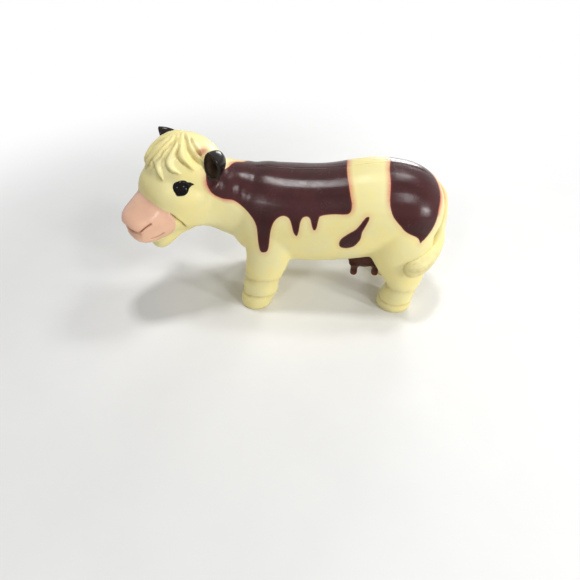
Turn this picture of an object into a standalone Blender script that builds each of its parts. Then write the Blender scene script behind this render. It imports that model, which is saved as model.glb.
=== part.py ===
"""Toy cow: a hollow body in two halves, a turned hollow head, and the small pieces plugged into them.

The cow stands on the floor at z = 0 with its nose towards -X and its left side towards -Y. While it is
being modelled, x = 0 is the front of the chest and y = 0 is the plane where the two halves meet. At the
end everything is moved so that the origin is at the centre of the footprint of the whole figure.
"""

import math

import bmesh
import bpy
from mathutils import Matrix, Vector
from mathutils.bvhtree import BVHTree

MM = 0.001

# Trunk
TRUNK_LENGTH = 79.0 * MM
BACK_HEIGHT = 52.5 * MM
BARREL_WIDTH = 34.0 * MM
BARREL_DEPTH = 36.6 * MM

# Neck and its seam, turned towards the left and rising towards the head
NECK_WIDTH = 26.0 * MM
NECK_DEPTH = 29.0 * MM
NECK_TURN = math.radians(12.0)
NECK_RISE = math.radians(9.0)
SEAM_BACK = 2.0 * MM
SEAM_HEIGHT = 41.5 * MM

# Head, measured from its own centre: forward, left and up
HEAD_FORWARD_OF_CHEST = 11.0 * MM
HEAD_LEFT_OF_MIDDLE = 4.0 * MM
HEAD_HEIGHT = 47.0 * MM
HEAD_TURN = math.radians(38.0)
HEAD_LENGTH = 27.0 * MM
HEAD_WIDTH = 27.0 * MM
HEAD_DEPTH = 27.0 * MM
MUZZLE_REACH = 28.0 * MM
MUZZLE_WIDTH = 21.0 * MM
MUZZLE_DEPTH = 19.0 * MM

# Legs
LEG_SPREAD = 26.6 * MM
LEG_WIDTH = 11.8 * MM
HOOF_LENGTH = 12.6 * MM

# Walls, seats and the pegs that hold the pieces together
WALL = 2.4 * MM
CLEARANCE = 0.3 * MM
OVERRUN = 2.0 * MM
COLLAR_LENGTH = 8.0 * MM
POST_RADIUS = 3.2 * MM
PIN_RADIUS = 1.5 * MM
PIN_LENGTH = 3.0 * MM
SPIGOT_RADIUS = 8.6 * MM
SPIGOT_BORE_RADIUS = 6.4 * MM
SPIGOT_LENGTH = 7.0 * MM
SPIGOT_BEAD = 0.7 * MM
SPIGOT_BEAD_SETBACK = 3.5 * MM
STRIP_WIDTH = 2.6 * MM
STRIP_DEPTH = 1.2 * MM
STRIP_PROUD = 0.15 * MM

# Ears and eyes, which sit on the head, each with a stem through its wall
EAR_HEIGHT = 10.2 * MM
EAR_WIDTH = 6.2 * MM
EAR_DEPTH = 7.0 * MM
EAR_WALL = 1.3 * MM
EAR_SUNK = 0.5 * MM
EAR_STEM_RADIUS = 1.4 * MM
EAR_STEM_LENGTH = 4.2 * MM
EYE_LENGTH = 6.8 * MM
EYE_HEIGHT = 5.8 * MM
EYE_THICKNESS = 3.4 * MM
EYE_SUNK = 0.4 * MM
EYE_STEM_RADIUS = 1.2 * MM
EYE_STEM_LENGTH = 4.4 * MM

# Udder under the belly, with a plug and a flange that the halves close round
UDDER_LENGTH = 16.0 * MM
UDDER_WIDTH = 14.0 * MM
UDDER_DEPTH = 11.0 * MM
UDDER_PLACE = 53.6 * MM
UDDER_BELOW_BELLY = 1.65 * MM
UDDER_PLUG_RADIUS = 3.4 * MM
UDDER_FLANGE_RADIUS = 5.2 * MM
UDDER_FLANGE_THICKNESS = 1.6 * MM
TEAT_RADIUS = 1.5 * MM
TEAT_LENGTH = 5.6 * MM
TEAT_SPACING = 7.8 * MM

# Tail, lying on the rump and the left thigh, with a peg at its root
TAIL_WIDTH = 4.6 * MM
TAIL_THICKNESS = 4.2 * MM
TAIL_PEG_RADIUS = 1.3 * MM
TAIL_PEG_LENGTH = 4.0 * MM

# Fineness of the moulded skins
SKIN_VOXEL = 0.9 * MM
SKIN_SMOOTHING_STEPS = 9
SKIN_SMOOTHING_SHARE = 0.5
SKIN_KEPT_SHARE = 0.085
LOFT_SIDES = 32
LOFT_STEPS = 4
CAVITY_SIDES = 18
TAIL_SIDES = 14
STRIP_STATIONS = 12
TAIL_ROOT_STEPS = 2 * LOFT_STEPS
SMOOTH_SHADED_UP_TO = math.radians(35.0)

# Stations from chest to rump: place along the trunk, height of the middle, half width, half depth
TRUNK_SHARES = (
    (0.000, 0.700, 0.130, 0.150),
    (0.030, 0.700, 0.270, 0.310),
    (0.080, 0.694, 0.385, 0.420),
    (0.150, 0.681, 0.450, 0.485),
    (0.240, 0.659, 0.485, 0.497),
    (0.350, 0.653, 0.500, 0.500),
    (0.460, 0.657, 0.505, 0.500),
    (0.560, 0.676, 0.508, 0.500),
    (0.670, 0.706, 0.510, 0.503),
    (0.760, 0.708, 0.500, 0.492),
    (0.850, 0.684, 0.475, 0.465),
    (0.920, 0.664, 0.405, 0.390),
    (0.965, 0.650, 0.300, 0.280),
    (0.990, 0.642, 0.180, 0.165),
    (1.000, 0.640, 0.080, 0.080),
)

# Stations of the neck: along from chest, left, height of the middle, half width, half depth
NECK_SHARES = (
    (0.200, 0.000, 0.720, 0.500, 0.470),
    (0.090, 0.050, 0.745, 0.500, 0.500),
    (0.000, 0.250, 0.790, 0.480, 0.460),
    (-0.080, 0.650, 0.840, 0.470, 0.420),
    (-0.140, 0.950, 0.870, 0.430, 0.380),
)

# Stations of the head: forward and up from its centre, half width, half depth
CRANIUM_SHARES = (
    (-0.460, 0.150, 0.060, 0.060),
    (-0.420, 0.160, 0.200, 0.200),
    (-0.320, 0.165, 0.335, 0.325),
    (-0.150, 0.180, 0.450, 0.445),
    (0.060, 0.195, 0.490, 0.497),
    (0.250, 0.190, 0.440, 0.450),
    (0.400, 0.175, 0.345, 0.350),
    (0.500, 0.160, 0.210, 0.215),
    (0.535, 0.150, 0.070, 0.070),
)
FACE_SHARES = (
    (-0.295, -0.020, 0.060, 0.050),
    (-0.265, -0.020, 0.190, 0.160),
    (-0.160, -0.020, 0.350, 0.300),
    (0.010, -0.020, 0.485, 0.415),
    (0.185, -0.018, 0.522, 0.450),
    (0.368, -0.023, 0.490, 0.425),
    (0.516, -0.040, 0.400, 0.345),
    (0.620, -0.058, 0.268, 0.230),
    (0.679, -0.070, 0.092, 0.082),
)
MUZZLE_SHARES = (
    (0.150, -0.080, 0.500, 0.500),
    (0.300, -0.120, 0.600, 0.560),
    (0.500, -0.210, 0.530, 0.470),
    (0.690, -0.290, 0.465, 0.385),
    (0.800, -0.335, 0.420, 0.345),
    (0.890, -0.370, 0.330, 0.270),
    (0.945, -0.392, 0.210, 0.170),
    (0.965, -0.400, 0.080, 0.060),
)
JAW_SHARES = (
    (0.100, -0.320, 0.200, 0.200),
    (0.170, -0.350, 0.360, 0.300),
    (0.330, -0.440, 0.370, 0.310),
    (0.505, -0.528, 0.345, 0.312),
    (0.630, -0.588, 0.265, 0.226),
    (0.690, -0.610, 0.120, 0.100),
)

# Stations of a leg from the trunk down: along from chest, out from the middle, height, half length
# and half width; lengths along go by trunk length, heights by back height
FRONT_LEG_SHARES = (
    (0.215, 0.600, 0.720, 0.700, 0.900),
    (0.212, 0.760, 0.600, 0.740, 1.100),
    (0.206, 0.850, 0.490, 0.700, 1.080),
    (0.197, 0.910, 0.400, 0.640, 1.050),
    (0.181, 0.940, 0.320, 0.590, 1.030),
    (0.175, 0.945, 0.270, 0.570, 1.000),
    (0.170, 0.945, 0.226, 0.500, 0.920),
    (0.164, 0.945, 0.190, 0.545, 1.000),
    (0.158, 0.945, 0.150, 0.560, 1.010),
    (0.150, 0.945, 0.106, 0.500, 0.930),
    (0.141, 0.945, 0.076, 0.500, 0.990),
    (0.134, 0.945, 0.038, 0.490, 1.000),
    (0.134, 0.945, -0.010, 0.465, 0.970),
    (0.134, 0.945, -0.060, 0.445, 0.940),
)
HIND_LEG_SHARES = (
    (0.800, 0.620, 0.740, 0.900, 1.200),
    (0.805, 0.720, 0.620, 0.960, 1.350),
    (0.820, 0.790, 0.500, 0.900, 1.300),
    (0.838, 0.840, 0.390, 0.765, 1.150),
    (0.852, 0.870, 0.290, 0.615, 1.040),
    (0.856, 0.875, 0.220, 0.505, 0.980),
    (0.852, 0.875, 0.170, 0.455, 0.960),
    (0.843, 0.870, 0.125, 0.490, 1.010),
    (0.839, 0.870, 0.092, 0.500, 0.960),
    (0.834, 0.865, 0.066, 0.530, 1.010),
    (0.831, 0.860, 0.030, 0.535, 1.020),
    (0.833, 0.860, -0.010, 0.505, 0.980),
    (0.833, 0.860, -0.060, 0.480, 0.940),
)

# Tail from its root over the rump to the tuft on the left thigh: along from chest, out from the
# middle, height, half width, half thickness
TAIL_SHARES = (
    (0.918, 0.000, 0.912, 0.250, 0.250),
    (0.940, 0.000, 0.902, 0.440, 0.440),
    (0.984, 0.020, 0.822, 0.500, 0.520),
    (1.004, 0.070, 0.695, 0.500, 0.520),
    (1.002, 0.230, 0.600, 0.500, 0.520),
    (0.992, 0.560, 0.545, 0.540, 0.580),
    (0.948, 0.970, 0.500, 0.720, 0.780),
    (0.895, 1.270, 0.455, 0.800, 0.860),
    (0.856, 1.340, 0.432, 0.740, 0.800),
    (0.834, 1.340, 0.424, 0.420, 0.460),
    (0.826, 1.340, 0.422, 0.150, 0.160),
)

# Directions from the centre of the head, as shares of its sizes: forward, left, up
EYE_TOWARDS_SHARES = (0.300, 0.450, 0.235)
LEFT_EAR_TOWARDS_SHARES = (-0.100, 0.389, 0.358)
RIGHT_EAR_TOWARDS_SHARES = (0.010, -0.389, 0.335)
EAR_OPENING_SHARES = (0.860, 0.420, -0.080)
EAR_TIP_SHARES = (0.260, 0.000, 0.965)
EAR_CONTACT_SHARE = 0.330

# Places along the trunk, as shares of its length
POST_PLACE_SHARES = (0.300, 0.520, 0.780)
CAVITY_END_SHARE = 0.950
STRIP_START_SHARE = 0.120
STRIP_END_SHARE = 0.905


def clear_scene():
    """Removes whatever the scene holds."""
    for thing in list(bpy.data.objects):
        bpy.data.objects.remove(thing, do_unlink=True)


def make_material(name, colour, roughness, metallic=0.0):
    """A plain material with this colour, roughness and metallic value."""
    material = bpy.data.materials.new(name)
    material.use_nodes = True
    shader = material.node_tree.nodes["Principled BSDF"]
    shader.inputs["Base Color"].default_value = (*colour, 1.0)
    shader.inputs["Roughness"].default_value = roughness
    shader.inputs["Metallic"].default_value = metallic
    return material


def add_object(name, mesh):
    """An object in the scene that carries this mesh."""
    thing = bpy.data.objects.new(name, mesh)
    bpy.context.scene.collection.objects.link(thing)
    return thing


def eased_rows(rows, steps):
    """The rows of a table with smooth rows added between them."""
    eased = []
    for index in range(len(rows) - 1):
        before = rows[max(index - 1, 0)]
        start, end = rows[index], rows[index + 1]
        after = rows[min(index + 2, len(rows) - 1)]
        for step in range(steps):
            t = step / steps
            eased.append(tuple(
                0.5 * (2 * b + (c - a) * t + (2 * a - 5 * b + 4 * c - d) * t ** 2
                       + (3 * b - a - 3 * c + d) * t ** 3)
                for a, b, c, d in zip(before, start, end, after)))
    eased.append(rows[-1])
    return eased


def loft(name, stations, side, grow=0.0, sides=LOFT_SIDES):
    """A closed tube through stations of centre, half width along `side`, and half depth across it."""
    mesh = bmesh.new()
    rings = []
    for index, (centre, half_width, half_depth) in enumerate(stations):
        before = stations[max(index - 1, 0)][0]
        after = stations[min(index + 1, len(stations) - 1)][0]
        along = (after - before).normalized()
        across = (side - along * side.dot(along)).normalized()
        depth = along.cross(across)
        ring = []
        for corner in range(sides):
            angle = math.tau * corner / sides
            ring.append(mesh.verts.new(
                centre + across * (half_width + grow) * math.cos(angle)
                + depth * (half_depth + grow) * math.sin(angle)))
        rings.append(ring)
    for lower, upper in zip(rings, rings[1:]):
        for corner in range(sides):
            following = (corner + 1) % sides
            mesh.faces.new((lower[corner], lower[following], upper[following], upper[corner]))
    mesh.faces.new(rings[0][::-1])
    mesh.faces.new(rings[-1])
    bmesh.ops.recalc_face_normals(mesh, faces=mesh.faces)
    return finish_mesh(name, mesh)


def finish_mesh(name, mesh):
    """The object made of a bmesh that is done."""
    data = bpy.data.meshes.new(name)
    mesh.to_mesh(data)
    mesh.free()
    return add_object(name, data)


def ellipsoid(name, radii, placing, rings=12, sides=20):
    """A ball stretched to three radii and put in its place."""
    mesh = bmesh.new()
    bmesh.ops.create_uvsphere(mesh, u_segments=sides, v_segments=rings, radius=1.0)
    bmesh.ops.transform(mesh, matrix=placing @ Matrix.Diagonal((*radii, 1.0)), verts=mesh.verts)
    return finish_mesh(name, mesh)


def cylinder(name, radius, start, end, sides=20):
    """A round bar between two points."""
    axis = end - start
    turn = axis.to_track_quat("Z", "Y").to_matrix().to_4x4()
    mesh = bmesh.new()
    bmesh.ops.create_cone(mesh, cap_ends=True, segments=sides, radius1=radius, radius2=radius,
                          depth=axis.length,
                          matrix=Matrix.Translation((start + end) / 2) @ turn)
    return finish_mesh(name, mesh)


def turned(name, profile, placing, sides=28):
    """A solid turned about its own Z axis from (radius, height) points."""
    mesh = bmesh.new()
    rings = []
    for radius, height in profile:
        rings.append([
            mesh.verts.new(placing @ Vector((radius * math.cos(math.tau * corner / sides),
                                             radius * math.sin(math.tau * corner / sides), height)))
            for corner in range(sides)])
    for lower, upper in zip(rings, rings[1:]):
        for corner in range(sides):
            following = (corner + 1) % sides
            mesh.faces.new((lower[corner], lower[following], upper[following], upper[corner]))
    mesh.faces.new(rings[0][::-1])
    mesh.faces.new(rings[-1])
    bmesh.ops.recalc_face_normals(mesh, faces=mesh.faces)
    return finish_mesh(name, mesh)


def box(name, low, high, placing=Matrix.Identity(4)):
    """A block between two corners."""
    mesh = bmesh.new()
    size = high - low
    bmesh.ops.create_cube(mesh, size=1.0)
    bmesh.ops.transform(mesh, verts=mesh.verts, matrix=placing @ Matrix.Translation((low + high) / 2)
                        @ Matrix.Diagonal((*size, 1.0)))
    return finish_mesh(name, mesh)


def baked(thing):
    """The object with its modifiers worked out, so that the tools it used can go."""
    graph = bpy.context.evaluated_depsgraph_get()
    mesh = bpy.data.meshes.new_from_object(thing.evaluated_get(graph))
    mesh.name = thing.name
    thing.modifiers.clear()
    thing.data = mesh
    return thing


def combine(thing, others, operation):
    """Joins other solids to this one, or cuts them from it, or keeps what it shares with them."""
    for other in others:
        step = thing.modifiers.new(operation.lower(), "BOOLEAN")
        step.operation = operation
        step.solver = "EXACT"
        step.object = other
    return baked(thing)


def drop(things):
    """Removes solids that were only tools."""
    for thing in things:
        bpy.data.objects.remove(thing, do_unlink=True)


def copy_of(thing, name):
    """A second object with its own copy of the mesh."""
    return add_object(name, thing.data.copy())


def blended_skin(name, solids):
    """One smooth closed skin round several solids that run into each other."""
    mesh = bmesh.new()
    for solid in solids:
        mesh.from_mesh(solid.data)
    skin = finish_mesh(name, mesh)
    remesh = skin.modifiers.new("blend", "REMESH")
    remesh.mode = "VOXEL"
    remesh.voxel_size = SKIN_VOXEL
    relax = skin.modifiers.new("relax", "SMOOTH")
    relax.factor = SKIN_SMOOTHING_SHARE
    relax.iterations = SKIN_SMOOTHING_STEPS
    thin = skin.modifiers.new("thin", "DECIMATE")
    thin.ratio = SKIN_KEPT_SHARE
    return baked(skin)


def trunk_point(along_share, out_share, height_share):
    """A place on the trunk: along from the chest, left of the middle, up from the floor."""
    return Vector((along_share * TRUNK_LENGTH, -out_share * LEG_SPREAD / 2, height_share * BACK_HEIGHT))


def trunk_stations():
    """Cross-sections of the trunk."""
    return [(trunk_point(along, 0.0, height), width * BARREL_WIDTH, depth * BARREL_DEPTH)
            for along, height, width, depth in eased_rows(TRUNK_SHARES, LOFT_STEPS)]


def neck_stations():
    """Cross-sections of the neck, from inside the trunk to inside the head."""
    return [(Vector((along * TRUNK_LENGTH, -left * HEAD_LEFT_OF_MIDDLE, height * BACK_HEIGHT)),
             width * NECK_WIDTH, depth * NECK_DEPTH)
            for along, left, height, width, depth in eased_rows(NECK_SHARES, LOFT_STEPS)]


def leg_stations(shares, side):
    """Cross-sections of one leg; side is 1 for the left and -1 for the right."""
    return [(trunk_point(along, side * out, height), width * LEG_WIDTH / 2, length * HOOF_LENGTH)
            for along, out, height, length, width in eased_rows(shares, LOFT_STEPS)]


def tail_stations():
    """Cross-sections of the tail and its tuft."""
    return [(trunk_point(along, out, height), width * TAIL_WIDTH, thickness * TAIL_THICKNESS)
            for along, out, height, width, thickness in eased_rows(TAIL_SHARES, LOFT_STEPS)]


def head_placing():
    """The head's own frame: +X forward, +Y to its left, +Z up."""
    centre = Vector((-HEAD_FORWARD_OF_CHEST, -HEAD_LEFT_OF_MIDDLE, HEAD_HEIGHT))
    return Matrix.Translation(centre) @ Matrix.Rotation(math.pi + HEAD_TURN, 4, "Z")


def head_stations(shares, reach, width, depth):
    """Cross-sections of a part of the head, in the cow's frame."""
    placing = head_placing()
    return [(placing @ Vector((forward * reach, 0.0, up * reach)), half_width * width, half_depth * depth)
            for forward, up, half_width, half_depth in eased_rows(shares, LOFT_STEPS)]


def head_side():
    """The head's own left, in the cow's frame."""
    return head_placing().to_3x3() @ Vector((0.0, 1.0, 0.0))


def neck_seam():
    """The seam's own frame: +Z along the neck towards the head, its origin on the neck's middle."""
    forward = Vector((-math.cos(NECK_TURN) * math.cos(NECK_RISE),
                      -math.sin(NECK_TURN) * math.cos(NECK_RISE), math.sin(NECK_RISE)))
    centre = Vector((SEAM_BACK, 0.0, SEAM_HEIGHT))
    return Matrix.Translation(centre) @ forward.to_track_quat("Z", "Y").to_matrix().to_4x4()


def reach():
    """A length that clears the whole cow in any direction."""
    return TRUNK_LENGTH + BACK_HEIGHT + MUZZLE_REACH


def build_skin():
    """The outer skin of the whole cow, flat under its hooves, before it is parted at the seams."""
    level = Vector((0.0, 1.0, 0.0))
    solids = [loft("trunk_form", trunk_stations(), level), loft("neck_form", neck_stations(), level)]
    for shares in (FRONT_LEG_SHARES, HIND_LEG_SHARES):
        for side in (1, -1):
            solids.append(loft("leg_form", leg_stations(shares, side), level))
    for shares, length, width, depth in (
            (CRANIUM_SHARES, HEAD_LENGTH, HEAD_WIDTH, HEAD_DEPTH),
            (FACE_SHARES, HEAD_LENGTH, HEAD_WIDTH, HEAD_DEPTH),
            (MUZZLE_SHARES, MUZZLE_REACH, MUZZLE_WIDTH, MUZZLE_DEPTH),
            (JAW_SHARES, MUZZLE_REACH, MUZZLE_WIDTH, MUZZLE_DEPTH)):
        solids.append(loft("head_form", head_stations(shares, length, width, depth), head_side()))
    skin = blended_skin("skin", solids)
    floor = box("floor", Vector((-reach(), -reach(), -reach())), Vector((reach(), reach(), 0.0)))
    combine(skin, [floor], "DIFFERENCE")
    drop(solids + [floor])
    return skin


def grown_skin(skin):
    """The skin moved out by the clearance, which shaves the pieces that lie on it."""
    grown = copy_of(skin, "grown_skin")
    push = grown.modifiers.new("push", "DISPLACE")
    push.strength = CLEARANCE
    push.mid_level = 0.0
    return baked(grown)


def surface_from_head(skin, towards_shares):
    """Where a line from the centre of the head meets the skin, and the skin's direction there."""
    placing = head_placing()
    forward, left, up = towards_shares
    aim = Vector((forward * HEAD_LENGTH, left * HEAD_WIDTH, up * HEAD_DEPTH))
    tree = BVHTree.FromPolygons([v.co for v in skin.data.vertices],
                                [tuple(face.vertices) for face in skin.data.polygons])
    point, normal, _, _ = tree.ray_cast(placing.translation, (placing.to_3x3() @ aim).normalized())
    return point, normal


def back_line(skin):
    """Points along the top of the back, on the skin, from the withers to the root of the tail."""
    tree = BVHTree.FromPolygons([v.co for v in skin.data.vertices],
                                [tuple(face.vertices) for face in skin.data.polygons])
    points = []
    for station in range(STRIP_STATIONS + 1):
        share = STRIP_START_SHARE + (STRIP_END_SHARE - STRIP_START_SHARE) * station / STRIP_STATIONS
        above = Vector((share * TRUNK_LENGTH, 0.0, reach()))
        points.append(tree.ray_cast(above, Vector((0.0, 0.0, -1.0)))[0])
    return points


def ribbon(name, points, half_width, above, below, longer=0.0):
    """A bar of rectangular section along points in the middle plane."""
    mesh = bmesh.new()
    rings = []
    for index, point in enumerate(points):
        before, after = points[max(index - 1, 0)], points[min(index + 1, len(points) - 1)]
        along = (after - before).normalized()
        up = Vector((-along.z, 0.0, along.x))
        shift = {0: -longer, len(points) - 1: longer}.get(index, 0.0)
        ring = [point + along * shift + up * rise + Vector((0.0, out, 0.0))
                for rise, out in ((above, half_width), (above, -half_width),
                                  (-below, -half_width), (-below, half_width))]
        rings.append([mesh.verts.new(corner) for corner in ring])
    for first, second in zip(rings, rings[1:]):
        for corner in range(4):
            following = (corner + 1) % 4
            mesh.faces.new((first[corner], first[following], second[following], second[corner]))
    mesh.faces.new(rings[0][::-1])
    mesh.faces.new(rings[-1])
    bmesh.ops.recalc_face_normals(mesh, faces=mesh.faces)
    return finish_mesh(name, mesh)


def spigot_profile(grow):
    """Radius and height of the neck spigot, with its snap bead, from its end to the seam."""
    radius, bead = SPIGOT_RADIUS + grow, SPIGOT_BEAD
    return [(radius - bead, -SPIGOT_LENGTH - grow), (radius, -SPIGOT_LENGTH + bead - grow),
            (radius, -SPIGOT_BEAD_SETBACK - 2 * bead - grow), (radius + bead, -SPIGOT_BEAD_SETBACK - bead),
            (radius + bead, -SPIGOT_BEAD_SETBACK), (radius, -SPIGOT_BEAD_SETBACK + bead + grow),
            (radius, OVERRUN)]


def build_body_shells(skin, strip_points, tail_root, udder_axis):
    """The two halves of the body, each with its legs, its posts and its share of every seat."""
    seam = neck_seam()
    head_side_block = box("block", Vector((-reach(), -reach(), -CLEARANCE / 2)),
                          Vector((reach(), reach(), reach())), seam)
    bore = turned("bore", spigot_profile(CLEARANCE), seam)
    collar_end = SEAM_BACK + COLLAR_LENGTH
    rows = [station for station in trunk_stations()[::LOFT_STEPS]
            if collar_end < station[0].x < CAVITY_END_SHARE * TRUNK_LENGTH]
    cavity = loft("cavity", rows, Vector((0.0, 1.0, 0.0)), -WALL, CAVITY_SIDES)
    throat = cylinder("throat", SPIGOT_BORE_RADIUS, seam @ Vector((0.0, 0.0, -SPIGOT_LENGTH)),
                      seam @ Vector((0.0, 0.0, -SPIGOT_LENGTH - COLLAR_LENGTH)))
    groove = ribbon("groove", strip_points, STRIP_WIDTH / 2 + CLEARANCE, OVERRUN,
                    STRIP_DEPTH + CLEARANCE, CLEARANCE)
    peg_hole = cylinder("peg_hole", TAIL_PEG_RADIUS + CLEARANCE, tail_root[0] - tail_root[1] * OVERRUN,
                        tail_root[0] + tail_root[1] * (TAIL_PEG_LENGTH + CLEARANCE))
    below, seat, above = udder_axis
    plug_hole = cylinder("plug_hole", UDDER_PLUG_RADIUS + CLEARANCE, below, above)
    flange_seat = cylinder("flange_seat", UDDER_FLANGE_RADIUS + CLEARANCE, seat, above)
    tools = [head_side_block, bore, cavity, throat, groove, peg_hole, plug_hole, flange_seat]

    halves = []
    for name, side in (("left_body_shell", 1), ("right_body_shell", -1)):
        half = copy_of(skin, name)
        near, far = sorted((side * -CLEARANCE / 2, side * reach()))
        other_side = box("other_side", Vector((-reach(), near, -reach())), Vector((reach(), far, reach())))
        combine(half, [other_side] + tools, "DIFFERENCE")
        drop([other_side])
        halves.append(half)
    drop(tools)
    left, right = halves
    add_posts(left, right)
    return left, right


def add_posts(left, right):
    """Posts from each side wall to the middle plane: pins on the left, sockets on the right."""
    for share in POST_PLACE_SHARES:
        centre, half_width, _ = min(trunk_stations(), key=lambda row: abs(row[0].x - share * TRUNK_LENGTH))
        wall = Vector((0.0, half_width - WALL / 2, 0.0))
        parting = Vector((0.0, CLEARANCE / 2, 0.0))
        pin_end = Vector((0.0, PIN_LENGTH, 0.0))
        left_post = cylinder("left_post", POST_RADIUS, centre - wall, centre - parting)
        pin = cylinder("pin", PIN_RADIUS, centre - wall, centre + pin_end)
        right_post = cylinder("right_post", POST_RADIUS, centre + parting, centre + wall)
        socket = cylinder("socket", PIN_RADIUS + CLEARANCE, centre - pin_end,
                          centre + pin_end + Vector((0.0, CLEARANCE, 0.0)))
        combine(left, [left_post, pin], "UNION")
        combine(right, [right_post], "UNION")
        combine(right, [socket], "DIFFERENCE")
        drop([left_post, pin, right_post, socket])


def build_head_shell(skin, stems):
    """The hollow head, with the spigot that the body halves close round and holes for the stems."""
    seam = neck_seam()
    head = copy_of(skin, "head_shell")
    body_side_block = box("block", Vector((-reach(), -reach(), -reach())),
                          Vector((reach(), reach(), CLEARANCE / 2)), seam)
    spigot = turned("spigot", spigot_profile(0.0), seam)
    combine(head, [body_side_block], "DIFFERENCE")
    combine(head, [spigot], "UNION")
    tools = [body_side_block, spigot]
    cavities = []
    for shares in (CRANIUM_SHARES, FACE_SHARES):
        rows = head_stations(shares, HEAD_LENGTH, HEAD_WIDTH, HEAD_DEPTH)[::LOFT_STEPS]
        rows = [row for row in rows if min(row[1:]) > 2 * WALL]
        cavities.append(loft("cavity", rows, head_side(), -WALL - SKIN_VOXEL / 2, CAVITY_SIDES))
    bore = cylinder("bore", SPIGOT_BORE_RADIUS, seam @ Vector((0.0, 0.0, -SPIGOT_LENGTH - OVERRUN)),
                    head_placing().translation)
    holes = [cylinder("stem_hole", radius + CLEARANCE, start, end) for radius, start, end in stems]
    combine(head, cavities + [bore] + holes, "DIFFERENCE")
    drop(tools + cavities + [bore] + holes)
    return head


def facing(point, normal, along):
    """A frame at this point: +Z out along the normal, +X as near as it can be to `along`."""
    length = (along - normal * along.dot(normal)).normalized()
    across = normal.cross(length)
    return Matrix.Translation(point) @ Matrix((length, across, normal)).transposed().to_4x4()


def build_eye(name, skin, grown, side):
    """A domed eye bead with its stem; returns it and the stem's size and ends."""
    towards, left, up = EYE_TOWARDS_SHARES
    point, normal = surface_from_head(skin, (towards, side * left, up))
    forward = head_placing().to_3x3() @ Vector((1.0, 0.0, 0.0))
    placing = facing(point - normal * EYE_SUNK, normal, forward)
    eye = ellipsoid(name, (EYE_LENGTH / 2, EYE_HEIGHT / 2, EYE_THICKNESS / 2), placing)
    combine(eye, [grown], "DIFFERENCE")
    start, end = placing @ Vector((0.0, 0.0, EYE_THICKNESS / 4)), point - normal * EYE_STEM_LENGTH
    stem = cylinder("stem", EYE_STEM_RADIUS, start, end, 12)
    combine(eye, [stem], "UNION")
    drop([stem])
    return eye, (EYE_STEM_RADIUS, start, end - normal * OVERRUN)


def build_ear(name, skin, grown, towards_shares):
    """A cupped ear with its stem; returns it and the stem's size and ends."""
    point, normal = surface_from_head(skin, towards_shares)
    side = math.copysign(1.0, towards_shares[1])
    turn = head_placing().to_3x3()
    forward, left, up = EAR_OPENING_SHARES
    opening = (turn @ Vector((forward, side * left, up))).normalized()
    mouth = point + normal * (EAR_WIDTH / 2 - EAR_SUNK) + opening * EAR_DEPTH * EAR_CONTACT_SHARE
    placing = facing(mouth, opening, turn @ Vector(EAR_TIP_SHARES))
    radii = Vector((EAR_HEIGHT / 2, EAR_WIDTH / 2, EAR_DEPTH))
    wall = Vector((EAR_WALL, EAR_WALL, EAR_WALL))
    ear = ellipsoid(name, radii, placing, 16, 20)
    cup = ellipsoid("cup", radii - wall, placing, 12, 16)
    front = box("front", Vector((-reach(), -reach(), 0.0)), Vector((reach(), reach(), reach())), placing)
    combine(ear, [grown, front, cup], "DIFFERENCE")
    start, end = point + normal * EAR_WALL / 2, point - normal * EAR_STEM_LENGTH
    stem = cylinder("stem", EAR_STEM_RADIUS, start, end, 14)
    combine(ear, [stem], "UNION")
    drop([cup, front, stem])
    return ear, (EAR_STEM_RADIUS, start, end - normal * OVERRUN)


def build_udder(grown):
    """The udder with its teats, plug and flange; returns it and the plug's hole: end, seat and end."""
    station = min(trunk_stations(), key=lambda row: abs(row[0].x - UDDER_PLACE))
    belly = Vector((UDDER_PLACE, 0.0, station[0].z - station[2]))
    centre = belly - Vector((0.0, 0.0, UDDER_BELOW_BELLY))
    udder = ellipsoid("udder", (UDDER_LENGTH / 2, UDDER_WIDTH / 2, UDDER_DEPTH / 2),
                      Matrix.Translation(centre))
    combine(udder, [grown], "DIFFERENCE")
    seat = belly + Vector((0.0, 0.0, WALL + CLEARANCE))
    top = seat + Vector((0.0, 0.0, UDDER_FLANGE_THICKNESS))
    solids = [cylinder("plug", UDDER_PLUG_RADIUS, centre - Vector((0.0, 0.0, TEAT_RADIUS)), top),
              cylinder("flange", UDDER_FLANGE_RADIUS, seat + Vector((0.0, 0.0, CLEARANCE)), top)]
    for along in (-1, 1):
        for out in (-1, 1):
            root = centre + Vector((along * TEAT_SPACING / 2, out * TEAT_SPACING / 2, 0.0))
            tip = root - Vector((0.0, 0.0, UDDER_DEPTH / 2 + TEAT_LENGTH / 2))
            solids.append(teat(root, tip))
    combine(udder, solids, "UNION")
    drop(solids)
    return udder, (centre, seat, top + Vector((0.0, 0.0, OVERRUN)))


def teat(root, tip):
    """One teat, round at its tip."""
    height = root.z - tip.z
    half = TEAT_RADIUS / 2
    profile = [(half, 0.0), (TEAT_RADIUS - half / 2, half / 2), (TEAT_RADIUS, half * 2), (TEAT_RADIUS, height)]
    return turned("teat", profile, Matrix.Translation(tip), 12)


def build_tail(grown, root, inward):
    """The tail and its tuft, shaved to lie on the rump, with the peg at its root."""
    tail = loft("tail", tail_stations(), Vector((0.0, 1.0, 0.0)), 0.0, TAIL_SIDES)
    combine(tail, [grown], "DIFFERENCE")
    peg = cylinder("peg", TAIL_PEG_RADIUS, root - inward * TAIL_THICKNESS / 4,
                   root + inward * TAIL_PEG_LENGTH, 14)
    combine(tail, [peg], "UNION")
    drop([peg])
    return tail


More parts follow.
